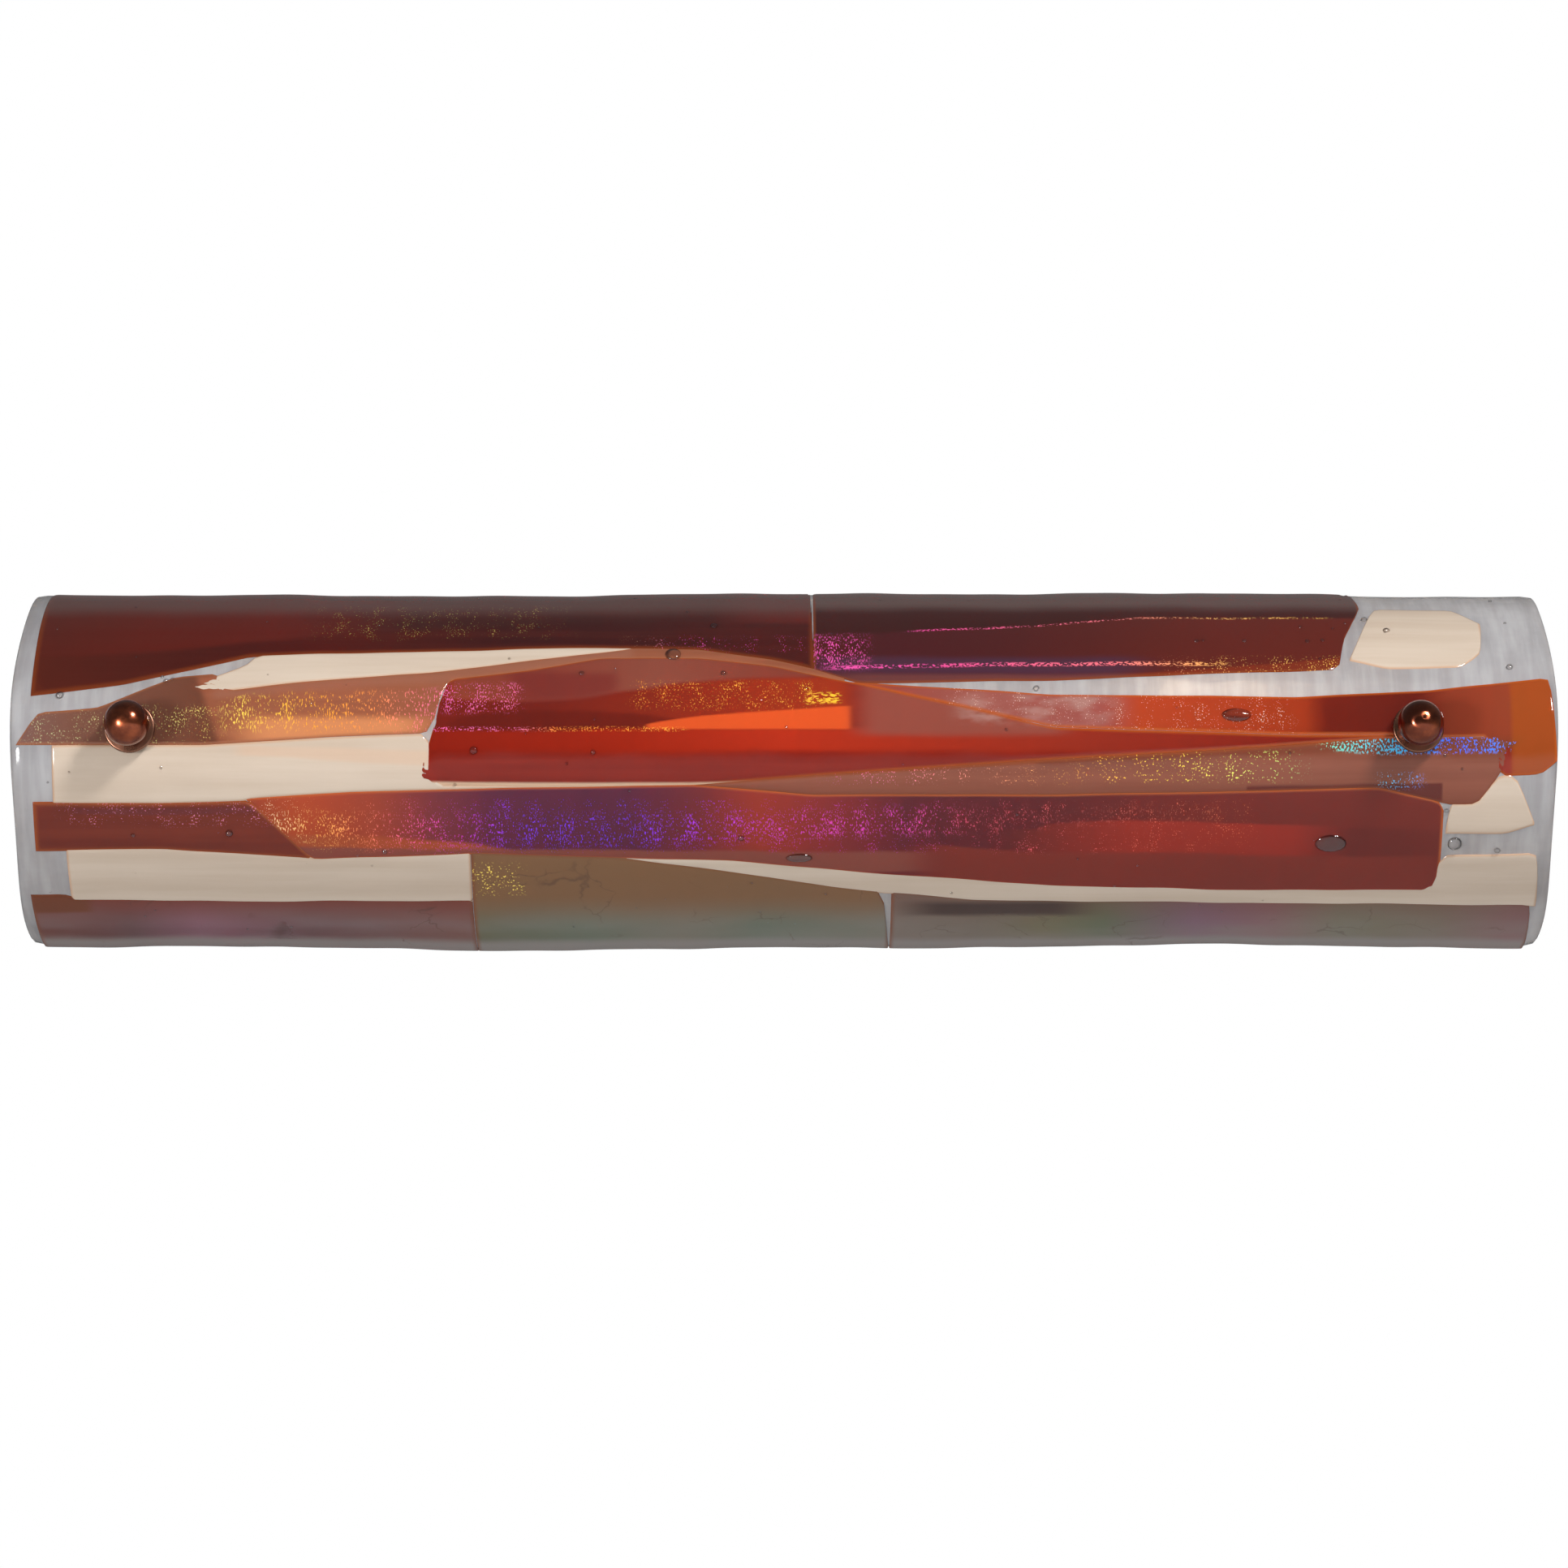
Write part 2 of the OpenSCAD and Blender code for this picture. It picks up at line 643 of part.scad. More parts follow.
wall_bracket();
bracket_studs();
stud_nuts();
cap_nuts();
ground_screw();
ground_lead();
back_pan();
left_post();
right_post();
post_nuts();
post_lock_washers();
inner_gaskets();
left_lampholder();
centre_lampholder();
right_lampholder();
screw_shells();
contact_tabs();
left_lamp_bracket();
centre_lamp_bracket();
right_lamp_bracket();
bracket_screws();
holder_screws();
wire_bushings();
black_leads();
white_leads();
wire_connectors();
left_bulb_glass();
centre_bulb_glass();
right_bulb_glass();
left_bulb_cap();
centre_bulb_cap();
right_bulb_cap();
left_bulb_contact();
centre_bulb_contact();
right_bulb_contact();
shade_sheet();
tan_right();
dichroic_band();
amber_centre();
amber_right();
amber_top();
brown_top();
ivory_upper_left();
tan_left();
amber_lower_left();
ivory_mid_left();
ivory_lower_left();
ivory_diagonal();
ivory_right();
ivory_upper_right();
amber_bottom_left();
olive_bottom();
iris_bottom();
glass_grommets();
left_washer();
right_washer();
left_knob();
right_knob();
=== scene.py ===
import json
import math
import random

import bmesh
import bpy
import numpy as np
from mathutils import Matrix, Vector

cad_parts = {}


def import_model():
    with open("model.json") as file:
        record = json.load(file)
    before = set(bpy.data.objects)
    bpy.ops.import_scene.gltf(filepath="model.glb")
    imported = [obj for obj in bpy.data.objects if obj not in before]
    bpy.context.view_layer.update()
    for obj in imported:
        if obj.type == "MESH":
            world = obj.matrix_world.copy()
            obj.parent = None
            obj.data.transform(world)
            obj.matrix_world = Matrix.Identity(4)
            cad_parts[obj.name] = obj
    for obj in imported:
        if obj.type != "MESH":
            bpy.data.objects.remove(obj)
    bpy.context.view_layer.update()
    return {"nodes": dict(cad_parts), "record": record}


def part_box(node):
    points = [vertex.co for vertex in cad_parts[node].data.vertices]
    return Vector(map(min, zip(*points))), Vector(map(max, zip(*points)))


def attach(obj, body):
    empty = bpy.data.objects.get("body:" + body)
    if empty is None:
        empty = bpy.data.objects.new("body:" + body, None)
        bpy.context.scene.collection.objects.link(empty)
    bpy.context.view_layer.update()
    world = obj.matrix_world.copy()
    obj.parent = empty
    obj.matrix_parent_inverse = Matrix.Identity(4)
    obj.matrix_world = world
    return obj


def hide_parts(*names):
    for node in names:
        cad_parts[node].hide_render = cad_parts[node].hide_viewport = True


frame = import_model()
nodes = frame["nodes"]
MM = 0.001

# ---------- the shade's arch, read from the frame ----------

sheet_low, sheet_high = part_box("shade_sheet")
MID_X = (sheet_low.x + sheet_high.x) / 2
HALF_L = (sheet_high.x - sheet_low.x) / 2
HALF_H = (sheet_high.z - sheet_low.z) / 2
RIM_Y = sheet_high.y
CREST_Y = sheet_low.y
CREST_R = 47 * MM
SHEET_T = 4.2 * MM
STRIP_T = CREST_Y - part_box("amber_centre")[0].y
CORNER_R = 9 * MM
ARCH_D = RIM_Y - CREST_Y
SIDE_R = (HALF_H**2 + (ARCH_D - CREST_R) ** 2 - CREST_R**2) / (2 * (HALF_H - CREST_R))
SIDE_OFF = SIDE_R - HALF_H
JOIN = math.atan2(SIDE_OFF, ARCH_D - CREST_R)
CREST_MID_Y = CREST_Y + CREST_R
S_JOIN = CREST_R * JOIN
S_RIM = S_JOIN + SIDE_R * (math.pi / 2 - JOIN)


def on_arch(s, h):
    """The y and z of points at arc length s from the crest and height h over the clear sheet."""
    s, h = np.broadcast_arrays(np.asarray(s, float), np.asarray(h, float))
    side, a_s = np.sign(s), np.abs(s)
    crest = a_s <= S_JOIN
    a = np.where(crest, a_s / CREST_R, JOIN + (a_s - S_JOIN) / SIDE_R)
    r = np.where(crest, CREST_R, SIDE_R) + h
    mid_y = np.where(crest, CREST_MID_Y, RIM_Y)
    mid_z = np.where(crest, 0.0, -SIDE_OFF)
    return mid_y - r * np.cos(a), side * (mid_z + r * np.sin(a))


def arc_length(y, z):
    """The arc length from the crest of points near the arch: the reverse of on_arch."""
    a_z = np.abs(z)
    a = np.arctan2(a_z, CREST_MID_Y - y)
    b = np.arctan2(a_z + SIDE_OFF, RIM_Y - y)
    return np.sign(z) * np.where(a <= JOIN, CREST_R * a, S_JOIN + SIDE_R * (b - JOIN))


def ripple(x, s):
    """The gentle waves of kiln-formed glass, and the bow of its hand-made rims."""
    w = 0.16 * np.sin(2 * np.pi * (x / 0.083 + s / 0.21) + 1.3)
    w = w + 0.12 * np.sin(2 * np.pi * (x / 0.047 - s / 0.09) + 4.0)
    w = w + 0.05 * np.sin(2 * np.pi * (x / 0.026 + s / 0.043) + 2.2)
    rim = (np.abs(s) / S_RIM) ** 3
    bow = 0.9 * np.sin(2 * np.pi * x / 0.52 + np.where(s > 0, 0.4, 2.6))
    bow = bow + 0.5 * np.sin(2 * np.pi * x / 0.19 + np.where(s > 0, 2.0, 5.1))
    return (w + rim * bow) * MM


# ---------- meshes ----------


def new_object(name, verts, faces):
    mesh = bpy.data.meshes.new(name)
    mesh.from_pydata([tuple(v) for v in verts], [], [tuple(f) for f in faces])
    mesh.validate()
    mesh.polygons.foreach_set("use_smooth", [True] * len(mesh.polygons))
    obj = bpy.data.objects.new(name, mesh)
    bpy.context.scene.collection.objects.link(obj)
    return obj


def apply_modifiers(obj):
    deps = bpy.context.evaluated_depsgraph_get()
    mesh = bpy.data.meshes.new_from_object(obj.evaluated_get(deps))
    obj.modifiers.clear()
    obj.data = mesh


def place(obj, body, slot, materials, *stands_for):
    """Gives a piece its materials and body, and hides the CAD nodes that it stands for; slot is not used.
    """
    obj.data.materials.clear()
    for m in materials:
        obj.data.materials.append(m)
    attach(obj, body)
    if stands_for:
        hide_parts(*stands_for)


def add_sheet_uv(obj, xs, ss, away):
    """Stores where each vertex is on the flat glass: UV map "sheet" has x and s in metres, and
    "edge" the distance in from the piece's edge, in metres."""
    for name, u, v in (("sheet", xs, ss), ("edge", away, away)):
        layer = obj.data.uv_layers.new(name=name)
        index = np.empty(len(obj.data.loops), np.int32)
        obj.data.loops.foreach_get("vertex_index", index)
        layer.data.foreach_set("uv", np.stack([u[index], v[index]], 1).ravel())


def grid_faces(rows, cols, first=0, flip=False):
    i, j = np.meshgrid(np.arange(rows - 1), np.arange(cols - 1), indexing="ij")
    a = (first + i * cols + j).ravel()
    quad = np.stack([a, a + 1, a + cols + 1, a + cols], 1)
    return quad[:, ::-1] if flip else quad


def rim_faces(rows, cols, first, second):
    """Joins the borders of two grids of the same size into one closed surface."""
    k = np.arange(rows * cols).reshape(rows, cols)
    loop = np.concatenate([k[0, :-1], k[:-1, -1], k[-1, :0:-1], k[:0:-1, 0]])
    nxt = np.roll(loop, -1)
    return np.stack([first + nxt, first + loop, second + loop, second + nxt], 1)


def slab(name, x, s, top, bottom, away):
    """A closed curved slab between two heights over the arch, on a grid of x and s."""
    rows, cols = x.shape
    lift = ripple(x, s)
    parts = []
    for h in (top, bottom):
        y, z = on_arch(s, h + lift)
        parts.append(np.stack([x, y, z], -1).reshape(-1, 3))
    n = rows * cols
    faces = np.concatenate([
        grid_faces(rows, cols, 0, flip=True),
        grid_faces(rows, cols, n),
        rim_faces(rows, cols, n, 0),
    ])
    obj = new_object(name, np.concatenate(parts), faces)
    twice = [np.concatenate([v.ravel(), v.ravel()]) for v in (x, s, away)]
    add_sheet_uv(obj, *twice)
    index = np.arange(len(obj.data.polygons)) >= (rows - 1) * (cols - 1)
    obj.data.polygons.foreach_set("material_index", index.astype(np.int32))
    return obj


def dome(d, r):
    """The height of a melted edge at a distance d in from it, from 0 to 1."""
    t = np.clip(d / r, 0, 1)
    return np.sqrt(1 - (1 - t) ** 2)


def slice_range(tris, x):
    """The lowest and highest arc length where a CAD strip's triangles cross a plane of constant x."""
    found = []
    for a, b in ((0, 1), (1, 2), (2, 0)):
        p, q = tris[:, a], tris[:, b]
        crossing = (p[:, 0] - x) * (q[:, 0] - x) < 0
        p, q = p[crossing], q[crossing]
        t = ((x - p[:, 0]) / (q[:, 0] - p[:, 0]))[:, None]
        found.append(p + t * (q - p))
    pts = np.concatenate(found)
    s = arc_length(pts[:, 1], pts[:, 2])
    return s.min(), s.max()


EDGE_STEPS = np.array([0, 0.12, 0.4, 0.9, 1.5, 2.4]) * MM
OUTLINE_ROUNDING = 5 * MM      # how far the melting rounds an outline
OUTLINE_SAMPLES = 400
GRID_X = 3 * MM
GRID_S = 3.5 * MM
MELT_R = 2 * MM                # radius of a strip's melted edge
STRIP_EDGE_T = 0.85 * MM       # how far a strip's edge stands over the CAD sheet
STRIP_SINK = 0.3 * MM          # how deep its underside lies in the clear glass
CLEAR_TOP = 1 * MM             # the clear glass rises almost level with the strips when fused
BUTTED = {"brown_top": 3.6, "iris_bottom": 2.6}   # mm at the left end that the next strip covers


def spread(width, count, steps=EDGE_STEPS):
    """Positions from 0 to width, close together near both ends."""
    e = steps * min(1, width / (2.4 * steps[-1]))
    inner = np.linspace(e[-1], width - e[-1], count + 2)[1:-1]
    return np.concatenate([e, inner, (width - e)[::-1]])


def strip_piece(node):
    """A melted glass strip with the outline of its CAD node."""
    obj = nodes[node]
    mesh = obj.data
    mesh.calc_loop_triangles()
    co = np.array([v.co for v in mesh.vertices])
    tris = co[np.array([t.vertices for t in mesh.loop_triangles])]
    low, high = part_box(node)
    low.x += BUTTED.get(node, 0) * MM
    length = high.x - low.x
    xs = low.x + spread(length, max(4, int(length / GRID_X)))
    inside = np.clip(xs, low.x + 0.02 * MM, high.x - 0.02 * MM)
    edges = np.array([slice_range(tris, x) for x in inside])
    for k in (0, 1):
        even = np.linspace(xs[0], xs[-1], OUTLINE_SAMPLES)
        line = np.interp(even, xs, edges[:, k])
        width = max(3, int(OUTLINE_ROUNDING / length * OUTLINE_SAMPLES) | 1)
        padded = np.pad(line, width // 2, mode="reflect", reflect_type="odd")
        window = np.hanning(width + 2)[1:-1]
        smooth = np.convolve(padded, window / np.hanning(width + 2).sum(), "valid")
        edges[:, k] = np.interp(xs, even, smooth)
    edges[:, 1] = np.maximum(edges[:, 1], edges[:, 0] + 0.1 * MM)
    count = max(3, int((edges[:, 1] - edges[:, 0]).max() / GRID_S))
    s = np.array([a + spread(b - a, count) for a, b in edges])
    x = np.repeat(xs[:, None], s.shape[1], 1)
    away = np.minimum(s - s[:, :1], s[:, -1:] - s)
    away = np.minimum(away, np.minimum(x - xs[0], xs[-1] - x))
    top = STRIP_EDGE_T + (STRIP_T - STRIP_EDGE_T) * dome(away, MELT_R)
    return slab(node + "_glass", x, s, top, np.full_like(top, -STRIP_SINK), away)


def sheet_piece():
    """The clear sheet, with fire-polished edges and round corners."""
    steps = EDGE_STEPS[:5] * 0.7
    ss = -S_RIM + spread(2 * S_RIM, 44, steps)
    u = -1 + spread(2.0, 150, steps / HALF_L)
    in_corner = np.clip((np.abs(ss) - (S_RIM - CORNER_R)) / CORNER_R, 0, 1)
    inset = CORNER_R * (1 - np.sqrt(1 - in_corner**2))
    s = np.repeat(ss[None, :], len(u), 0)
    end = 0.6 * MM * np.sin(2 * np.pi * ss / 0.11 + 0.7) - 0.6 * MM
    x = MID_X + u[:, None] * (HALF_L - inset + end)[None, :]
    away = np.minimum(S_RIM - np.abs(s), (1 - np.abs(u))[:, None] * HALF_L)
    half = (SHEET_T + CLEAR_TOP) / 2
    bulge = half * dome(away, half)
    middle = CLEAR_TOP - half
    return slab("clear_sheet", x, s, middle + bulge, middle - bulge, away)


def drill(obj, x, d):
    """Cuts a round hole through the glass at a post."""
    mesh = bpy.data.meshes.new("drill")
    bm = bmesh.new()
    along_y = Matrix.Translation((x, CREST_Y, 0)) @ Matrix.Rotation(math.pi / 2, 4, "X")
    bmesh.ops.create_cone(bm, cap_ends=True, segments=48, radius1=d / 2, radius2=d / 2, depth=0.06,
                          matrix=along_y)
    bm.to_mesh(mesh)
    bm.free()
    tool = bpy.data.objects.new("drill", mesh)
    bpy.context.scene.collection.objects.link(tool)
    cut = obj.modifiers.new("drill", "BOOLEAN")
    cut.operation = "DIFFERENCE"
    cut.solver = "EXACT"
    cut.object = tool
    apply_modifiers(obj)
    bpy.data.objects.remove(tool)


# ---------- material building ----------


class Kit:
    """Builds one material's nodes."""

    def __init__(self, name):
        self.mat = bpy.data.materials.new(name)
        self.mat.use_nodes = True
        self.nt = self.mat.node_tree
        self.nt.nodes.clear()
        self.out = self.nt.nodes.new("ShaderNodeOutputMaterial")

    def put(self, node, socket, value):
        target = node.inputs[socket]
        if isinstance(value, bpy.types.NodeSocket):
            self.nt.links.new(value, target)
        elif isinstance(value, (tuple, list)) and len(value) == 3 and target.type == "RGBA":
            target.default_value = (*value, 1)
        else:
            target.default_value = value

    def node(self, kind, inputs=None, output=0, **settings):
        n = self.nt.nodes.new("ShaderNode" + kind)
        for k, v in settings.items():
            setattr(n, k, v)
        for k, v in (inputs or {}).items():
            self.put(n, k, v)
        return n.outputs[output]

    def math(self, op, a, b=0.0, clamp=False):
        return self.node("Math", {0: a, 1: b}, operation=op, use_clamp=clamp)

    def uv(self, name="sheet"):
        return self.node("UVMap", uv_map=name)

    def position(self):
        return self.node("TexCoord", output=3)

    def split(self, vector):
        n = self.nt.nodes.new("ShaderNodeSeparateXYZ")
        self.nt.links.new(vector, n.inputs[0])
        return n.outputs

    def stretch(self, vector, scale, shift=(0, 0, 0)):
        return self.node("Mapping", {"Vector": vector, "Scale": scale, "Location": shift})

    def noise(self, vector, scale, detail=3.0, rough=0.5, output=0):
        return self.node("TexNoise", {"Vector": vector, "Scale": scale, "Detail": detail,
                                      "Roughness": rough}, output)

    def band(self, value, low, high, out_low=0.0, out_high=1.0):
        return self.node("MapRange", {"Value": value, "From Min": low, "From Max": high,
                                      "To Min": out_low, "To Max": out_high},
                         interpolation_type="SMOOTHSTEP")

    def ramp(self, value, stops):
        n = self.nt.nodes.new("ShaderNodeValToRGB")
        self.nt.links.new(value, n.inputs[0])
        el = n.color_ramp.elements
        while len(el) < len(stops):
            el.new(0.5)
        for e, (pos, col) in zip(el, stops):
            e.position = pos
            e.color = (*col, 1)
        return n.outputs[0]

    def blend(self, share, a, b):
        n = self.nt.nodes.new("ShaderNodeMix")
        n.data_type = "RGBA"
        self.put(n, 0, share)
        self.put(n, 6, a)
        self.put(n, 7, b)
        return n.outputs[2]

    def bump(self, height, distance, strength=1.0):
        return self.node("Bump", {"Height": height, "Distance": distance, "Strength": strength})

    def mix(self, share, a, b):
        return self.node("MixShader", {0: share, 1: a, 2: b})

    def finish(self, shader):
        self.nt.links.new(shader, self.out.inputs[0])
        return self.mat


def srgb(r, g, b):
    """A linear colour from 0-255 display values."""
    shares = [c / 255 for c in (r, g, b)]
    return tuple(c / 12.92 if c <= 0.04 else ((c + 0.055) / 1.055) ** 2.4 for c in shares)


# ---------- glass materials ----------


class Glass(Kit):
    """A glass material that knows its place on the flat sheet: x and s in mm, and the strip's edge."""

    def __init__(self, name):
        super().__init__(name)
        u, v = self.split(self.uv("sheet"))[:2]
        self.x = self.math("MULTIPLY", self.math("SUBTRACT", u, MID_X), 1000)
        self.s = self.math("MULTIPLY", v, 1000)
        self.edge = self.math("MULTIPLY", self.split(self.uv("edge"))[0], 1000)

    def streaks(self, along, over, detail=4.0, shift=0.0):
        """Noise drawn out along the light, as in pulled glass, in waves per metre."""
        v = self.stretch(self.uv("sheet"), (along, over, 1), (shift, shift * 0.37, 0))
        return self.noise(v, 1.0, detail, 0.55)

    def curve(self, points):
        """A smooth line s(x) through a few [x, s] points in mm."""
        if isinstance(points, (int, float)):
            return float(points)
        xs, ss = zip(*points)
        low, high = min(ss), max(ss) + 0.01
        share = self.node("MapRange", {"Value": self.x, "From Min": xs[0], "From Max": xs[-1]})
        n = self.nt.nodes.new("ShaderNodeFloatCurve")
        line = n.mapping.curves[0]
        spots = [((x - xs[0]) / (xs[-1] - xs[0]), (s - low) / (high - low)) for x, s in points]
        line.points[0].location, line.points[1].location = spots[0], spots[-1]
        for spot in spots[1:-1]:
            line.points.new(*spot)
        n.mapping.update()
        self.nt.links.new(share, n.inputs["Value"])
        return self.node("MapRange", {"Value": n.outputs[0], "To Min": low, "To Max": high})

    def above(self, line, soft=1.0, wander=0.8):
        """1 above a line and 0 below it."""
        wave = self.math("SUBTRACT", self.streaks(14, 90, 2.0, 2.3), 0.5)
        sway = self.math("MULTIPLY", wave, 4 * wander)
        gap = self.math("SUBTRACT", self.math("ADD", self.s, sway), self.curve(line))
        return self.band(gap, -soft, soft)

    def beside(self, line, near, far):
        """1 on a line s(x), falling to 0 at a distance from it."""
        gap = self.math("ABSOLUTE", self.math("SUBTRACT", self.s, self.curve(line)))
        return self.band(gap, near, far, 1.0, 0.0)

    def span(self, low, high, soft=3.0):
        """1 between two places along the light."""
        return self.times(self.band(self.x, low - soft, low + soft),
                          self.band(self.x, high - soft, high + soft, 1.0, 0.0))

    def times(self, *values):
        product = values[0]
        for v in values[1:]:
            product = self.math("MULTIPLY", product, v)
        return product

    def zone(self, low, high, start=-400, end=400, soft=1.0, ends=4.0, wander=0.8):
        """1 between two lines s(x) and between two places x."""
        over = self.above(low, soft, wander)
        under = self.math("SUBTRACT", 1.0, self.above(high, soft, wander))
        return self.times(over, under, self.span(start, end, ends))

    def lay(self, colour, *layers):
        """Lays colours over each other, each a (mask, colour) pair."""
        for mask, new in layers:
            colour = self.blend(mask, colour, new)
        return colour

    def grain(self, wide, tall, share, shift=0.0):
        """Short bright scales of dichroic film, wide x tall in mm, covering about this share."""
        v = self.stretch(self.uv("sheet"), (1000 / wide, 1000 / tall, 1), (shift, shift, 0))
        fleck = self.noise(v, 1.0, 1.0, 0.6)
        wide_v = self.stretch(self.uv("sheet"), (160, 90, 1), (shift, 0, 0))
        cluster = self.math("SUBTRACT", self.noise(wide_v, 1.0, 2.0, 0.6), 0.5)
        level = self.math("ADD", fleck, self.math("MULTIPLY", cluster, 0.45))
        return self.band(level, 0.74 - 0.3 * share, 0.80 - 0.3 * share)

    def along(self, stops):
        """A colour that changes along the light: (x in mm, colour) pairs."""
        share = self.node("MapRange", {"Value": self.x, "From Min": -310, "From Max": 310})
        return self.ramp(share, [((x + 310) / 620, colour) for x, colour in stops])

    def crackle(self, cell, width, share):
        """Fine broken lines, like a crazed film: cell and width in mm."""
        v = self.uv("sheet")
        sway = self.noise(v, 90.0, 3.0, 0.6, 1)
        bent = self.node("VectorMath", {0: self.node("VectorMath", {0: sway, 1: (0.012, 0.012, 0)},
                                                     operation="MULTIPLY"), 1: v}, operation="ADD")
        n = self.node("TexVoronoi", {"Vector": bent, "Scale": 1000 / cell}, feature="DISTANCE_TO_EDGE")
        line = self.band(n, 0.0, 2 * width / cell, 1.0, 0.0)
        gate = self.band(self.noise(v, 38.0, 2.0, 0.5), 0.62 - 0.3 * share, 0.72 - 0.3 * share)
        return self.times(line, gate)

    def melt(self, colour, edge_colour, width=1.6):
        """Thin melted edges let more light through, so a strip has a brighter line round it."""
        rim = self.band(self.edge, 0.2, width, 1.0, 0.0)
        return self.blend(self.math("MULTIPLY", rim, 0.8), colour, edge_colour)

    def surface(self, extra=None):
        """Fine waviness of the fused surface, over the waves that the mesh already has."""
        v = self.uv("sheet")
        normal = self.bump(self.noise(v, 70.0, 2.0, 0.4), 0.3 * MM, 0.5)
        pits = self.band(self.noise(v, 900.0, 2.0, 0.5), 0.70, 0.78)
        normal = self.node("Bump", {"Height": pits, "Distance": 0.03 * MM, "Strength": 0.5,
                                    "Normal": normal})
        if extra is None:
            return normal
        return self.node("Bump", {"Height": extra, "Distance": 0.05 * MM, "Strength": 1.0,
                                  "Normal": normal})

    def fuse(self, colour, glow, translucent=0.3, clear=0.06, film=None, film_colour=None,
             relief=None, roughness=0.05):
        """Lit in front by its colour and from behind by its glow, with scales of film in it; the film
        scales also glow a little by emission, a painted glint.
        """
        smear = self.noise(self.uv("sheet"), 24.0, 4.0, 0.6)
        rough = self.band(smear, 0.35, 0.75, roughness, roughness * 2.6)
        settings = {"Roughness": rough, "IOR": 1.5, "Normal": self.surface(relief)}
        if film is None:
            front = self.node("BsdfPrincipled", {**settings, "Base Color": colour})
        else:
            # The film's emission is a painted glint.
            front = self.node("BsdfPrincipled", {
                **settings, "Base Color": self.blend(film, colour, film_colour),
                "Metallic": self.math("MULTIPLY", film, 0.35), "Emission Color": film_colour,
                "Emission Strength": self.math("MULTIPLY", film, 0.45)})
        back = self.node("BsdfTranslucent", {"Color": glow})
        through = self.node("BsdfTransparent", {"Color": glow})
        return self.finish(self.mix(clear, self.mix(translucent, front, back), through))


SEEN_GAIN = 0.92      # a surface's colour in the studio light, as a share of what is seen


def seen(r, g, b):
    """The colour of a surface that shows these 0-255 display values in the studio light."""
    return tuple(min(0.9, c * SEEN_GAIN) for c in srgb(r, g, b))


def underside():
    """The hidden face where a strip is fused to the sheet: light passes it unchanged."""
    k = Kit("strip_underside")
    return k.finish(k.node("BsdfTransparent", {"Color": (1, 1, 1)}))


AMBER_GLOW = srgb(255, 118, 28)
RED_GLOW = srgb(255, 92, 30)
BROWN_GLOW = srgb(235, 108, 60)
WARM_GLOW = srgb(255, 206, 160)


def ivory_opal():
    k = Glass("ivory_opal_glass")
    tone = k.band(k.streaks(7, 110, 5.0), 0.3, 0.7)
    colour = k.blend(tone, seen(190, 172, 154), seen(201, 185, 168))
    # A warm patch at x -215 to -128 mm, in front of the left lamp, is painted lamp glow.
    painted_lamp_glow = k.zone([(-210, -10), (-130, -14)], [(-210, -6), (-130, -9)], -215, -128)
    colour = k.lay(colour, (k.times(painted_lamp_glow, 0.4), seen(206, 168, 140)))
    colour = k.melt(colour, seen(190, 150, 120), 1.4)
    return k.fuse(colour, WARM_GLOW, 0.10, 0.0, roughness=0.07)


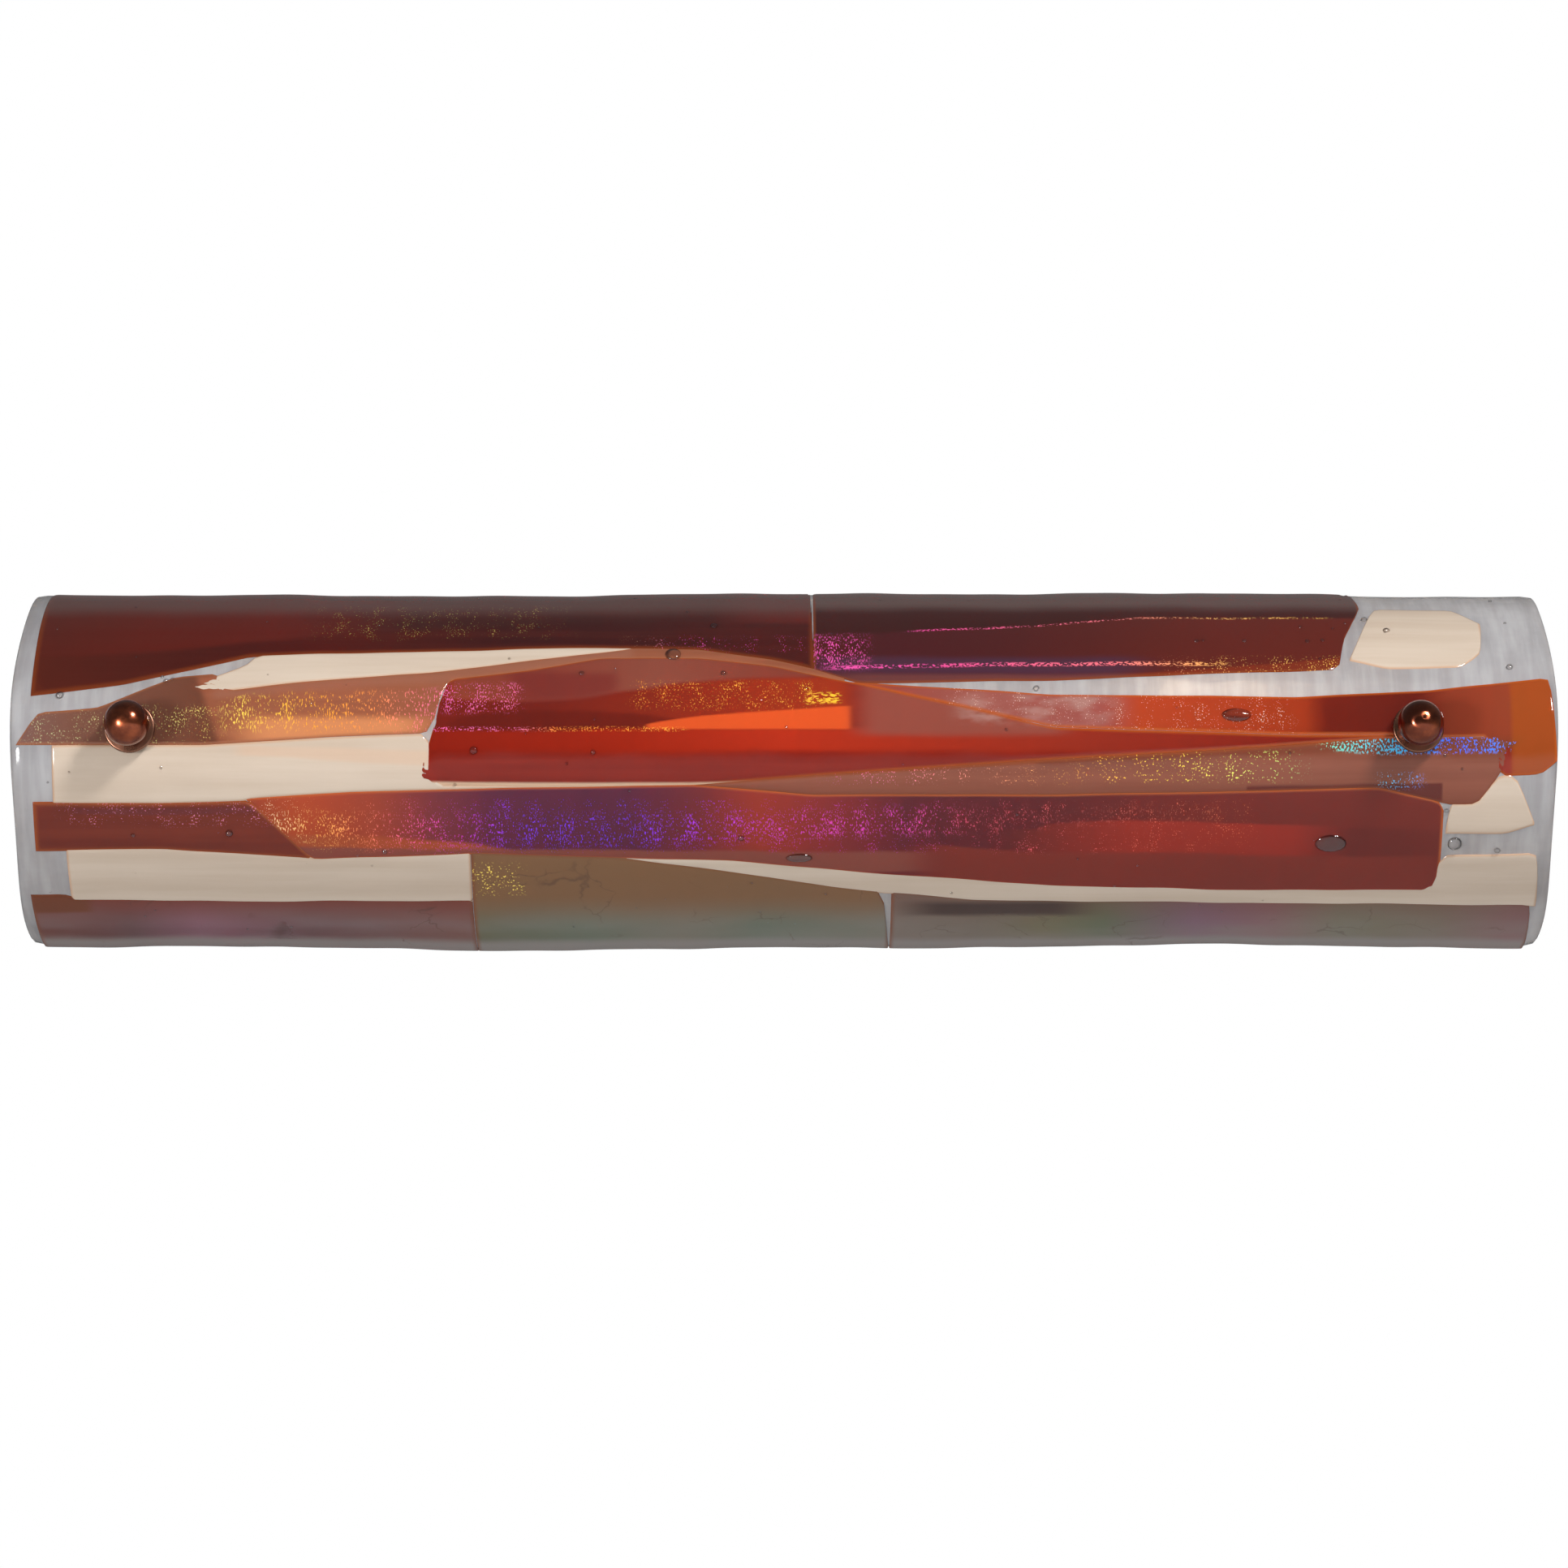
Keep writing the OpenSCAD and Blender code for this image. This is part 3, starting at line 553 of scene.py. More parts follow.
def amber_centre():
    k = Glass("amber_centre_glass")
    fine = k.band(k.streaks(8, 300, 6.0, 3.1), 0.35, 0.75)
    colour = k.blend(fine, seen(112, 26, 18), seen(128, 34, 22))
    lens_foot = [(-145, 17), (-105, 11.5), (-60, 16.5), (-20, 21.5), (11, 22), (40, 22)]
    stripe_top = [(-60, 0.8), (-36, 5.0), (-10, 7.2), (18, 9.0), (27, 9.5)]
    brown_low, brown_high = [(-130, -0.5), (-80, 0.2), (-34, 1.0)], [(-130, 4), (-90, 7), (-34, 1.4)]
    foot_line = [(-142, -21), (-104, -21.5), (-37, -21.5), (30, -17)]
    # The belly colour is brightest at x 0, in front of the centre lamp: the glass's own red with painted
    # lamp glow over it.
    belly_hue_and_lamp_glow = k.along([(-140, seen(128, 30, 18)), (-60, seen(152, 38, 20)), (0, seen(176, 50, 28)),
                         (120, seen(140, 48, 34)), (200, seen(110, 36, 28))])
    middle_hue = k.along([(-140, seen(96, 32, 26)), (-100, seen(88, 32, 27)), (-40, seen(128, 44, 28)),
                          (20, seen(150, 54, 30))])
    lens_hue = k.along([(-130, seen(126, 66, 50)), (-95, seen(120, 64, 52)), (-50, seen(128, 80, 66)),
                        (0, seen(116, 66, 54))])
    colour = k.lay(
        colour,
        (k.zone(-8.5, 0.5, -146, 250, 1.6), belly_hue_and_lamp_glow),
        (k.zone(0.5, lens_foot, -146, 26, 1.4), middle_hue),
        (k.times(k.zone(brown_low, brown_high, -131, -33), 0.7), seen(66, 26, 22)),
        (k.zone(lens_foot, 50, -132, 12, 1.4), lens_hue),
        (k.times(k.zone(lens_foot, 25, -108, -66, 3.0), 0.7), seen(98, 44, 44)),
        (k.zone(0.2, stripe_top, -54, 26, 0.6, 2.0, 0.2), seen(226, 92, 42)),
        (k.zone(-2, 22, 30, 110, 2.0, 8.0), seen(138, 80, 68)),
        (k.times(k.zone(3, 13, 70, 118, 3.0, 8.0), k.band(k.streaks(60, 160, 5.0, 7.0), 0.4, 0.65), 0.7),
         seen(176, 150, 140)),
    )
    colour = k.melt(colour, seen(178, 92, 34))
    over_foot = k.math("SUBTRACT", k.s, k.curve(foot_line))
    foot = k.times(k.band(over_foot, 0.3, 1.7, 1.0, 0.0), k.span(-142, 16, 6.0))
    colour = k.lay(colour, (foot, seen(222, 200, 168)))
    gold = k.times(k.grain(0.5, 0.9, 0.35), k.zone(9, 20, -60, 14, 2.0))
    glint = k.times(k.grain(2.4, 0.8, 0.9, 1.7), k.zone(10.5, 15, 9, 22, 0.8, 1.5))
    dark_line = k.times(k.grain(0.7, 0.6, 0.6, 4.4), k.zone(-0.6, 1.0, -138, -40, 0.5, 4.0, 0.2))
    flecks = k.times(k.grain(0.45, 1.0, 0.5, 6.1), k.zone(7, 19, -134, -104, 2.0))
    film = k.math("MAXIMUM", k.math("MAXIMUM", gold, glint), k.math("MAXIMUM", dark_line, flecks))
    hue = k.along([(-134, srgb(255, 120, 190)), (-104, srgb(230, 110, 150)), (-90, srgb(255, 150, 60)),
                   (0, srgb(255, 190, 70)), (20, srgb(255, 214, 60))])
    return k.fuse(colour, AMBER_GLOW, 0.34, 0.08, film, hue)


def amber_right():
    k = Glass("amber_right_glass")
    under = [(100, 0.5), (129, -0.3), (204, -3.0), (245, -6.5)]
    # The bright orange at x 140 to 205 mm, in front of the right lamp, is painted lamp glow over the
    # glass's own colour.
    colour = k.along([(24, seen(140, 66, 54)), (80, seen(150, 96, 88)), (125, seen(150, 88, 82)),
                      (140, seen(176, 72, 40)), (205, seen(150, 58, 30)), (213, seen(84, 32, 24)),
                      (250, seen(72, 30, 24)), (262, seen(128, 60, 40)), (284, seen(140, 68, 44))])
    colour = k.lay(
        colour,
        (k.times(k.zone(3, 14, 70, 128, 3.0, 10.0), k.band(k.streaks(60, 160, 5.0, 7.0), 0.4, 0.65), 0.7),
         seen(180, 152, 142)),
        (k.math("SUBTRACT", 1.0, k.above(under, 0.5, 0.3)), seen(142, 46, 32)),
        (k.band(k.x, 285.0, 287.5), seen(158, 80, 34)),
    )
    line = k.times(k.beside(under, 0.2, 1.0), k.span(122, 240), 0.8)
    colour = k.lay(colour, (line, seen(62, 24, 20)))
    colour = k.melt(colour, seen(196, 100, 34))
    flecks = k.times(k.grain(0.5, 0.7, 0.2, 5.0), k.zone(-4, 20, 60, 200, 3.0))
    return k.fuse(colour, AMBER_GLOW, 0.36, 0.08, flecks, srgb(255, 226, 200))


def tan_right():
    k = Glass("tan_right_glass")
    tone = k.band(k.streaks(8, 160, 5.0, 1.1), 0.3, 0.7)
    colour = k.blend(tone, seen(122, 68, 50), seen(138, 80, 60))
    colour = k.lay(
        colour,
        (k.zone(-60, [(178, -22), (215, -21), (258, -20.5)], 182, 259, 0.8, 0.6), seen(88, 34, 26)),
        (k.times(k.above([(-35, -20), (106, -14.5), (234, -8)], 1.6), k.span(100, 300), 0.5),
         seen(104, 56, 42)),
    )
    colour = k.melt(colour, seen(140, 74, 40))
    gold = k.times(k.grain(0.8, 0.9, 0.34), k.zone(-20, -8.5, 118, 200, 1.5, 10.0))
    pink = k.times(k.grain(0.5, 0.8, 0.28, 3.0), k.zone(-21, -14, 20, 110, 1.5, 10.0))
    blue = k.times(k.grain(0.7, 1.2, 0.72, 2.0), k.zone([(205, -6), (240, -9), (291, -9)],
                                                        [(205, -3), (291, -1)], 212, 291, 1.0, 4.0))
    spots = k.times(k.grain(0.6, 0.8, 0.5, 8.0), k.zone(-22, -17, 235, 250, 2.0, 4.0))
    film = k.math("MAXIMUM", k.math("MAXIMUM", gold, pink), k.math("MAXIMUM", blue, spots))
    hue = k.along([(20, srgb(240, 110, 170)), (110, srgb(255, 170, 80)), (150, srgb(255, 214, 70)),
                   (200, srgb(190, 220, 120)), (215, srgb(120, 230, 200)), (240, srgb(60, 190, 240)),
                   (262, srgb(50, 110, 255)), (291, srgb(80, 150, 255))])
    return k.fuse(colour, BROWN_GLOW, 0.24, 0.03, film, hue)


def tan_left():
    k = Glass("tan_left_glass")
    tone = k.band(k.streaks(8, 160, 5.0, 2.7), 0.3, 0.7)
    colour = k.blend(tone, seen(134, 80, 58), seen(150, 94, 70))
    lap = k.band(k.math("ADD", k.x, k.math("MULTIPLY", k.s, 0.35)), -226, -222, 1.0, 0.0)
    colour = k.lay(
        colour,
        (lap, k.along([(-302, seen(118, 92, 86)), (-280, seen(112, 80, 68)), (-230, seen(98, 64, 50))])),
        (k.times(k.above([(-230, 12), (-140, 20), (-90, 24)], 2.0), k.span(-225, -60), 0.6),
         seen(152, 104, 84)),
        # The bright peach band at x -212 to -142 mm, in front of the left lamp, is painted lamp glow.
        (k.times(k.zone(-5, 5, -212, -142, 2.5, 12.0), 0.8), seen(222, 148, 98)),
    )
    colour = k.melt(colour, seen(160, 100, 66))
    left = k.times(k.grain(0.5, 0.9, 0.34, 1.0), k.zone(-5, 9, -300, -224, 2.0, 8.0))
    low, high = [(-222, 1), (-180, 0), (-130, 1)], [(-222, 12), (-170, 15), (-130, 16)]
    main = k.times(k.grain(0.5, 1.8, 0.46), k.zone(low, high, -221, -132, 3.0, 3.0))
    hue = k.along([(-300, srgb(190, 200, 150)), (-235, srgb(225, 210, 120)), (-215, srgb(255, 220, 90)),
                   (-185, srgb(255, 180, 50)), (-160, srgb(255, 150, 80)), (-138, srgb(255, 120, 160))])
    return k.fuse(colour, srgb(255, 160, 90), 0.28, 0.03, k.math("MAXIMUM", left, main), hue)


def dichroic_band():
    k = Glass("dichroic_band_glass")
    # Warm orange peaks near x -190 and -10 mm, in front of the left and centre lamps, are painted lamp
    # glow; the purples and reds between are the glass's own colour.
    colour = k.along([(-212, seen(150, 66, 38)), (-190, seen(176, 74, 38)), (-160, seen(150, 66, 46)),
                      (-140, seen(108, 50, 56)), (-115, seen(66, 34, 62)), (-60, seen(60, 30, 60)),
                      (-34, seen(96, 38, 46)), (-10, seen(150, 52, 36)), (20, seen(120, 42, 44)),
                      (48, seen(66, 28, 40)), (100, seen(62, 26, 32)), (150, seen(92, 34, 28)),
                      (258, seen(104, 40, 30))])
    colour = k.lay(
        colour,
        (k.zone(-60, [(-212, -42), (-150, -44), (-100, -52)], -214, -96, 1.2, 14.0), seen(164, 80, 46)),
        (k.zone(-60, [(-212, -47), (-150, -48.5), (-60, -49.5), (60, -50)], -214, 60, 1.0, 12.0),
         seen(126, 74, 62)),
        # This layer's bright red at x 140 to 200 mm, in front of the right lamp, is painted lamp glow.
        (k.zone(-70, [(100, -40), (150, -36.5), (205, -38), (260, -41)], 90, 262, 1.0, 12.0),
         k.along([(90, seen(84, 34, 30)), (140, seen(150, 44, 28)), (200, seen(146, 42, 28)),
                  (225, seen(84, 34, 28)), (260, seen(96, 38, 30))])),
        (k.zone(-80, [(60, -47), (150, -51), (262, -52)], 55, 262, 1.2, 14.0), seen(116, 46, 34)),
    )
    colour = k.melt(colour, seen(196, 104, 44))
    shape = k.zone([(-205, -42), (-100, -47), (40, -42), (190, -36)],
                   [(-205, -33), (-60, -34), (60, -31), (190, -30)], -206, 175, 3.5, 8.0)
    dense = k.times(k.grain(0.5, 1.5, 0.42), shape, k.band(k.x, 40.0, 110.0, 1.0, 0.25))
    thin = k.times(k.grain(0.45, 0.8, 0.2, 5.5), k.zone(-50, -28, -290, 185, 2.0))
    hue = k.along([(-205, srgb(255, 226, 170)), (-185, srgb(255, 190, 90)), (-165, srgb(255, 140, 90)),
                   (-148, srgb(255, 100, 150)), (-128, srgb(220, 60, 200)), (-105, srgb(120, 60, 255)),
                   (-60, srgb(105, 60, 240)), (-32, srgb(180, 60, 235)), (0, srgb(220, 70, 200)),
                   (45, srgb(225, 70, 180)), (75, srgb(245, 90, 110)), (180, srgb(255, 130, 80))])
    return k.fuse(colour, RED_GLOW, 0.32, 0.06, k.math("MAXIMUM", dense, thin), hue)


def amber_top():
    k = Glass("amber_top_glass")
    fold = [(-300, 33), (-250, 36), (-200, 44), (-150, 50), (-90, 56)]
    fine = k.band(k.streaks(6, 240, 6.0, 4.0), 0.35, 0.75)
    low = k.along([(-297, seen(72, 30, 20)), (-230, seen(58, 23, 18)), (-190, seen(60, 20, 16)),
                   (-150, seen(56, 22, 18)), (-110, seen(42, 20, 20)), (10, seen(52, 24, 22))])
    high = k.along([(-297, seen(76, 30, 22)), (-250, seen(86, 28, 20)), (-200, seen(84, 28, 21)),
                    (-168, seen(64, 28, 24)), (-150, seen(44, 26, 24)), (-30, seen(46, 26, 24)),
                    (-12, seen(76, 32, 28)), (12, seen(84, 34, 30))])
    colour = k.blend(k.above(fold, 2.0), low, high)
    colour = k.blend(k.math("MULTIPLY", fine, 0.35), colour, seen(84, 36, 28))
    colour = k.melt(colour, seen(120, 56, 22), 3.0)
    # The greyer colour above s 66 mm is a painted reflection of the studio along the top.
    colour = k.lay(colour, (k.times(k.above(66, 8.0), 0.7), seen(92, 76, 72)))
    gold = k.times(k.grain(0.6, 0.7, 0.16), k.zone(45, 72, -185, -90, 3.0, 10.0))
    pink = k.times(k.grain(0.5, 0.8, 0.2, 3.0), k.zone(36, 46, -60, 12, 2.0, 8.0))
    hue = k.along([(-190, srgb(230, 190, 90)), (-70, srgb(220, 170, 90)), (-40, srgb(230, 80, 160))])
    return k.fuse(colour, srgb(225, 66, 28), 0.22, 0.05, k.math("MAXIMUM", gold, pink), hue)


def brown_top():
    k = Glass("brown_top_glass")
    pink_line = [(10, 27), (60, 28.5), (150, 29.5), (200, 27)]
    glitter = [(40, 48), (57, 50), (94, 53), (156, 60), (228, 60)]
    colour = k.along([(0, seen(70, 30, 28)), (40, seen(64, 28, 32)), (90, seen(70, 30, 30)),
                      (150, seen(84, 34, 28)), (225, seen(92, 36, 27))])
    wedge = k.zone(10, [(140, 24.5), (190, 29), (226, 33)], 138, 232, 0.8, 6.0)
    colour = k.lay(
        colour,
        (k.times(k.zone(24, 33, 12, 140, 2.5, 14.0), 0.9), seen(66, 44, 62)),
        (k.times(k.zone(18, 24, 20, 150, 1.5, 14.0), 0.8), seen(108, 62, 60)),
        (wedge, seen(116, 46, 28)),
        (k.times(k.above(glitter, 1.2), 0.85), seen(46, 26, 24)),
        # The grey above s 70 mm is a painted reflection along the top.
        (k.times(k.above(70, 7.0), 0.7), seen(104, 90, 86)),
    )
    colour = k.melt(colour, seen(132, 66, 34))
    patch = k.times(k.grain(0.5, 1.6, 0.6, 1.0), k.zone(28, 46, 12, 32, 4.0, 5.0))
    line = k.times(k.grain(1.2, 0.9, 0.9, 2.0), k.beside(pink_line, 0.3, 1.5), k.span(20, 172, 8.0))
    shine = k.times(k.grain(1.0, 0.7, 0.7, 5.0), k.beside(glitter, 0.2, 1.0), k.span(52, 215, 6.0))
    gold = k.times(k.grain(0.6, 0.8, 0.3, 7.0), k.zone(24, 33, 150, 228, 2.0))
    film = k.math("MAXIMUM", k.math("MAXIMUM", patch, line), k.math("MAXIMUM", shine, gold))
    hue = k.along([(5, srgb(240, 90, 180)), (60, srgb(235, 80, 150)), (130, srgb(255, 120, 130)),
                   (170, srgb(255, 180, 100)), (225, srgb(255, 200, 90))])
    return k.fuse(colour, srgb(215, 70, 34), 0.22, 0.05, film, hue)


def amber_lower_left():
    k = Glass("amber_lower_left_glass")
    tone = k.band(k.streaks(7, 200, 6.0, 5.0), 0.3, 0.75)
    colour = k.blend(tone, seen(90, 36, 25), seen(110, 46, 30))
    colour = k.lay(colour, (k.times(k.zone(-33.5, -31, -280, -200, 0.8), 0.7), seen(84, 42, 46)))
    colour = k.melt(colour, seen(150, 78, 32), 2.6)
    film = k.times(k.grain(0.6, 0.7, 0.28), k.zone(-38, -29, -285, -200, 2.0))
    return k.fuse(colour, AMBER_GLOW, 0.28, 0.05, film, srgb(225, 130, 150))


def bottom_glass(name, top, hue, greys, crack):
    """The iridescent glass along the bottom rim, with a crazed film. top is the colour of its
    upper edge and that colour's share; crack is the share of the film that is crazed."""
    k = Glass(name)
    upper = k.band(k.s, -96.0, -72.0)
    drift = k.band(k.streaks(9, 22, 3.0, 2.0), 0.35, 0.65)
    own = hue(k)
    colour = k.blend(drift, own, k.blend(0.5, own, greys))
    colour = k.blend(k.math("MULTIPLY", upper, top[1]), colour, top[0])
    # The grey band along the bottom rim is a painted reflection.
    rim = k.times(k.band(k.s, -113.0, -103.0, 1.0, 0.0), 0.85)
    colour = k.lay(colour, (rim, seen(138, 132, 128)))
    lines = k.crackle(21, 0.2, crack)
    colour = k.blend(k.math("MULTIPLY", lines, 0.45), colour, seen(56, 44, 38))
    colour = k.melt(colour, seen(116, 62, 34), 2.2)
    return k, colour, lines


def amber_bottom_left():
    def hue(k):
        return k.along([(-300, seen(110, 62, 52)), (-262, seen(98, 70, 72)), (-235, seen(132, 90, 104)),
                        (-190, seen(104, 74, 76)), (-124, seen(118, 82, 74))])
    k, colour, lines = bottom_glass("amber_bottom_left_glass", (seen(112, 50, 36), 1.0), hue,
                                    seen(128, 116, 118), 0.25)
    end = k.times(k.band(k.x, -280.0, -274.0, 1.0, 0.0), k.above(-84, 1.5))
    colour = k.lay(colour, (end, seen(104, 52, 22)))
    return k.fuse(colour, RED_GLOW, 0.16, 0.02, relief=lines, roughness=0.09)


def olive_bottom():
    def hue(k):
        return k.along([(-124, seen(96, 98, 74)), (-80, seen(92, 108, 90)), (-40, seen(112, 108, 92)),
                        (-10, seen(94, 108, 92)), (42, seen(112, 112, 98))])
    k, colour, lines = bottom_glass("olive_bottom_glass", (seen(122, 84, 50), 0.9), hue,
                                    seen(124, 122, 112), 0.3)
    gold = k.times(k.grain(0.9, 1.0, 0.4), k.zone(-72, -56, -124, -104, 2.0))
    return k.fuse(colour, srgb(255, 170, 90), 0.14, 0.02, gold, srgb(235, 205, 90), lines, 0.09)


def iris_bottom():
    def hue(k):
        return k.along([(40, seen(112, 98, 88)), (75, seen(96, 84, 66)), (104, seen(104, 100, 72)),
                        (128, seen(86, 98, 72)), (165, seen(118, 84, 104)), (196, seen(128, 80, 88)),
                        (222, seen(104, 104, 78)), (262, seen(112, 100, 84)), (290, seen(122, 80, 84))])
    k, colour, lines = bottom_glass("iris_bottom_glass", (seen(104, 66, 52), 0.6), hue,
                                    seen(126, 118, 110), 0.3)
    colour = k.lay(colour, (k.times(k.zone(-86, -77, 52, 118, 2.0, 12.0), 0.9), seen(40, 26, 22)))
    return k.fuse(colour, srgb(255, 150, 90), 0.14, 0.02, relief=lines, roughness=0.09)


def clear_glass():
    """Clear glass, sand-blasted on the inside, which lets the lamps through."""
    k = Glass("clear_glass")
    mist = k.noise(k.stretch(k.uv("sheet"), (30, 60, 1)), 1.0, 5.0, 0.6)
    haze = k.band(mist, 0.3, 0.7, 0.86, 0.95)
    normal = k.surface()
    rub = k.band(k.streaks(220, 26, 5.0), 0.35, 0.7)
    milk_colour = k.blend(rub, srgb(144, 143, 146), srgb(164, 164, 167))
    fog = k.node("BsdfTranslucent", {"Color": srgb(214, 210, 206)})
    milk = k.node("BsdfDiffuse", {"Color": milk_colour})
    gloss = k.node("BsdfGlossy", {"Color": (1, 1, 1), "Roughness": 0.04, "Normal": normal})
    pane = k.node("BsdfTransparent", {"Color": srgb(226, 228, 230)})
    body = k.mix(haze, pane, k.mix(0.25, milk, fog))
    fresnel = k.node("Fresnel", {"IOR": 1.5, "Normal": normal})
    seen_through = k.mix(fresnel, body, gloss)
    lamp_light = k.node("BsdfTransparent", {"Color": (0.86, 0.86, 0.86)})
    shadow = k.node("LightPath", output=1)
    return k.finish(k.mix(shadow, seen_through, lamp_light))


def bubble_glass():
    """A trapped bubble: clear in its middle, dark at its rim, with the surface's own shine."""
    k = Kit("trapped_bubble")
    facing = k.node("LayerWeight", {"Blend": 0.35}, output=1)
    rim = k.band(facing, 0.35, 0.95)
    through = k.node("BsdfTransparent", {"Color": k.blend(rim, (0.93, 0.91, 0.9), (0.22, 0.2, 0.2))})
    gloss = k.node("BsdfGlossy", {"Color": (1, 1, 1), "Roughness": 0.06})
    share = k.node("Fresnel", {"IOR": 1.6})
    return k.finish(k.mix(share, through, gloss))


# ---------- the glass ----------

STRIP_GLASS = {
    "tan_right": tan_right, "dichroic_band": dichroic_band, "amber_centre": amber_centre,
    "amber_right": amber_right, "amber_top": amber_top, "brown_top": brown_top, "tan_left": tan_left,
    "amber_lower_left": amber_lower_left, "amber_bottom_left": amber_bottom_left,
    "olive_bottom": olive_bottom, "iris_bottom": iris_bottom,
}
SLOT_OF = {s["node"]: s["material_slot"] for s in frame["record"]["subparts"]}
STRIPS = [n for n in frame["record"]["behaviour"]["bodies"]["shade"]
          if n not in ("shade_sheet", "glass_grommets")]
POST_X = (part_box("right_post")[0].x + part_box("right_post")[1].x) / 2
HOLE_D = 9 * MM

under = underside()
ivory = ivory_opal()
clear = clear_glass()
for node in STRIPS:
    piece = strip_piece(node)
    low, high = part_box(node)
    for post in (-POST_X, POST_X):
        if low.x < post < high.x and low.z < HOLE_D / 2 and high.z > -HOLE_D / 2:
            drill(piece, post, HOLE_D)
    look = STRIP_GLASS[node]() if node in STRIP_GLASS else ivory
    place(piece, "shade", SLOT_OF[node], [look, under], node)

sheet = sheet_piece()
drill(sheet, -POST_X, HOLE_D)
drill(sheet, POST_X, HOLE_D)
place(sheet, "shade", SLOT_OF["shade_sheet"], [clear, clear], "shade_sheet")

# The larger bubbles in the glass: x and s in mm, then length and height across
BUBBLES = [
    (178, 5.8, 12, 5.4), (6, -53, 10.8, 4.1), (216, -46.5, 12.8, 8), (-44, 35, 6.4, 6.4),
    (265, -46.5, 5.7, 5.7), (-28, 53.5, 3, 3), (-285.5, 14.3, 3, 3), (-244, 20.6, 2, 2),
    (-241.5, 21.4, 1.5, 1.5), (-245.5, 22.6, 1.3, 1.3), (-122, -8, 3.2, 3.2), (-75, -8.7, 2, 2),
    (-17, -44, 2.4, 2.4), (-219, -41.6, 3, 3), (-257, -42.7, 1.8, 1.8), (-158, -50, 2, 2),
    (-80, 24.5, 2.2, 2.2), (-24, 24.5, 2.2, 2.2), (99.5, 17.4, 2.4, 2.4), (282, -49.5, 2.4, 2.4),
    (287, 28, 2.6, 2.6), (240, 50, 2.8, 2.8), (232, 59, 2.6, 2.6), (261, -32, 1.8, 1.8),
    (164, 43, 1.8, 1.8), (166.6, 43.4, 1.4, 1.4), (183, 43, 1.8, 1.8), (208, 43, 1.8, 1.8),
    (214, 43.6, 1.6, 1.6),
]
SEED_BUBBLES = 90
BUBBLE_RINGS, BUBBLE_SIDES = 8, 16
BUBBLE_SINK = 0.1 * MM


def bubbles():
    """Flattened bubbles just under the surface of the fused glass."""
    rng = random.Random(7)
    every = list(BUBBLES)
    for _ in range(SEED_BUBBLES):
        d = rng.uniform(0.6, 1.3)
        every.append((rng.uniform(-292, 292), rng.uniform(-100, 90), d, d))
    rings, around = BUBBLE_RINGS, BUBBLE_SIDES
    lat = np.linspace(0, np.pi, rings)[:, None]
    lon = np.linspace(0, 2 * np.pi, around, endpoint=False)[None, :]
    verts, faces, first = [], [], 0
    for x, s, length, height in every:
        stand = min(0.34 * height, 1.1) * MM
        bx = MID_X + (x + length / 2 * np.sin(lat) * np.cos(lon)) * MM
        bs = (s + height / 2 * np.sin(lat) * np.sin(lon)) * MM
        h = STRIP_T - BUBBLE_SINK + stand * np.cos(lat) + 0 * lon + ripple(bx, bs)
        y, z = on_arch(bs, h)
        verts.append(np.stack([bx, y, z], -1).reshape(-1, 3))
        grid = grid_faces(rings, around, first)
        seam = first + np.arange(rings - 1) * around
        wrap = np.stack([seam + around - 1, seam, seam + around, seam + 2 * around - 1], 1)
        faces.append(np.concatenate([grid, wrap]))
        first += rings * around
    obj = new_object("trapped_bubbles", np.concatenate(verts), np.concatenate(faces))
    bm = bmesh.new()
    bm.from_mesh(obj.data)
    bmesh.ops.remove_doubles(bm, verts=bm.verts, dist=1e-7)
    bmesh.ops.recalc_face_normals(bm, faces=bm.faces)
    bm.to_mesh(obj.data)
    bm.free()
    place(obj, "shade", "clear_glass", [bubble_glass()])


bubbles()

# ---------- metal, enamel, porcelain and plastic ----------


def worn(name, colour, metallic, roughness, grain, scratch, peel, coat=0.0):
    """A hard finish: cloudy tone, fine scratches, a skin like orange peel, and lighter rubbed edges.
    grain is in waves per metre; scratch and peel are depths in mm."""
    k = Kit(name)
    where = k.position()
    cloud = k.noise(where, 45.0, 4.0, 0.6)
    fine = k.noise(where, grain, 4.0, 0.6)
    lines = k.noise(k.stretch(where, (2600, 140, 2600)), 1.0, 3.0, 0.6)
    edge = k.node("Bevel", {"Radius": 0.5 * MM}, samples=4)
    flat = k.node("NewGeometry", output=1)
    turn = k.node("VectorMath", {0: edge, 1: flat}, output=1, operation="DOT_PRODUCT")
    rubbed = k.math("MULTIPLY", k.band(turn, 0.99, 0.9), k.band(fine, 0.35, 0.6))
    dark = tuple(0.72 * c for c in colour)
    light = tuple(min(1.0, 1.35 * c + 0.03) for c in colour)
    shade = k.blend(k.band(cloud, 0.3, 0.7), dark, colour)
    shade = k.blend(k.math("MULTIPLY", rubbed, 0.6), shade, light)
    rough = k.math("ADD", k.band(cloud, 0.3, 0.7, roughness * 0.8, roughness * 1.25),
                   k.band(lines, 0.5, 0.7, 0.0, 0.08), True)
    normal = k.bump(lines, scratch * MM)
    normal = k.node("Bump", {"Height": fine, "Distance": peel * MM, "Strength": 0.6, "Normal": normal})
    return k.finish(k.node("BsdfPrincipled", {
        "Base Color": shade, "Roughness": rough, "Metallic": metallic, "Coat Weight": coat,
        "Coat Roughness": 0.08, "Normal": normal}))


# For each class of the record: metallic, roughness, grain, scratch depth, peel depth, coat
FINISH = {
    "brass": (1.0, 0.28, 700, 0.012, 0.004, 0.0),
    "brushed_steel": (1.0, 0.34, 900, 0.016, 0.004, 0.0),
    "aluminium": (1.0, 0.32, 900, 0.014, 0.004, 0.0),
    "painted_metal": (0.0, 0.36, 420, 0.004, 0.03, 0.3),
    "glazed_ceramic": (0.0, 0.14, 260, 0.002, 0.02, 0.6),
    "matte_plastic": (0.0, 0.48, 1300, 0.006, 0.02, 0.0),
    "rubber": (0.0, 0.30, 500, 0.002, 0.02, 0.2),
}


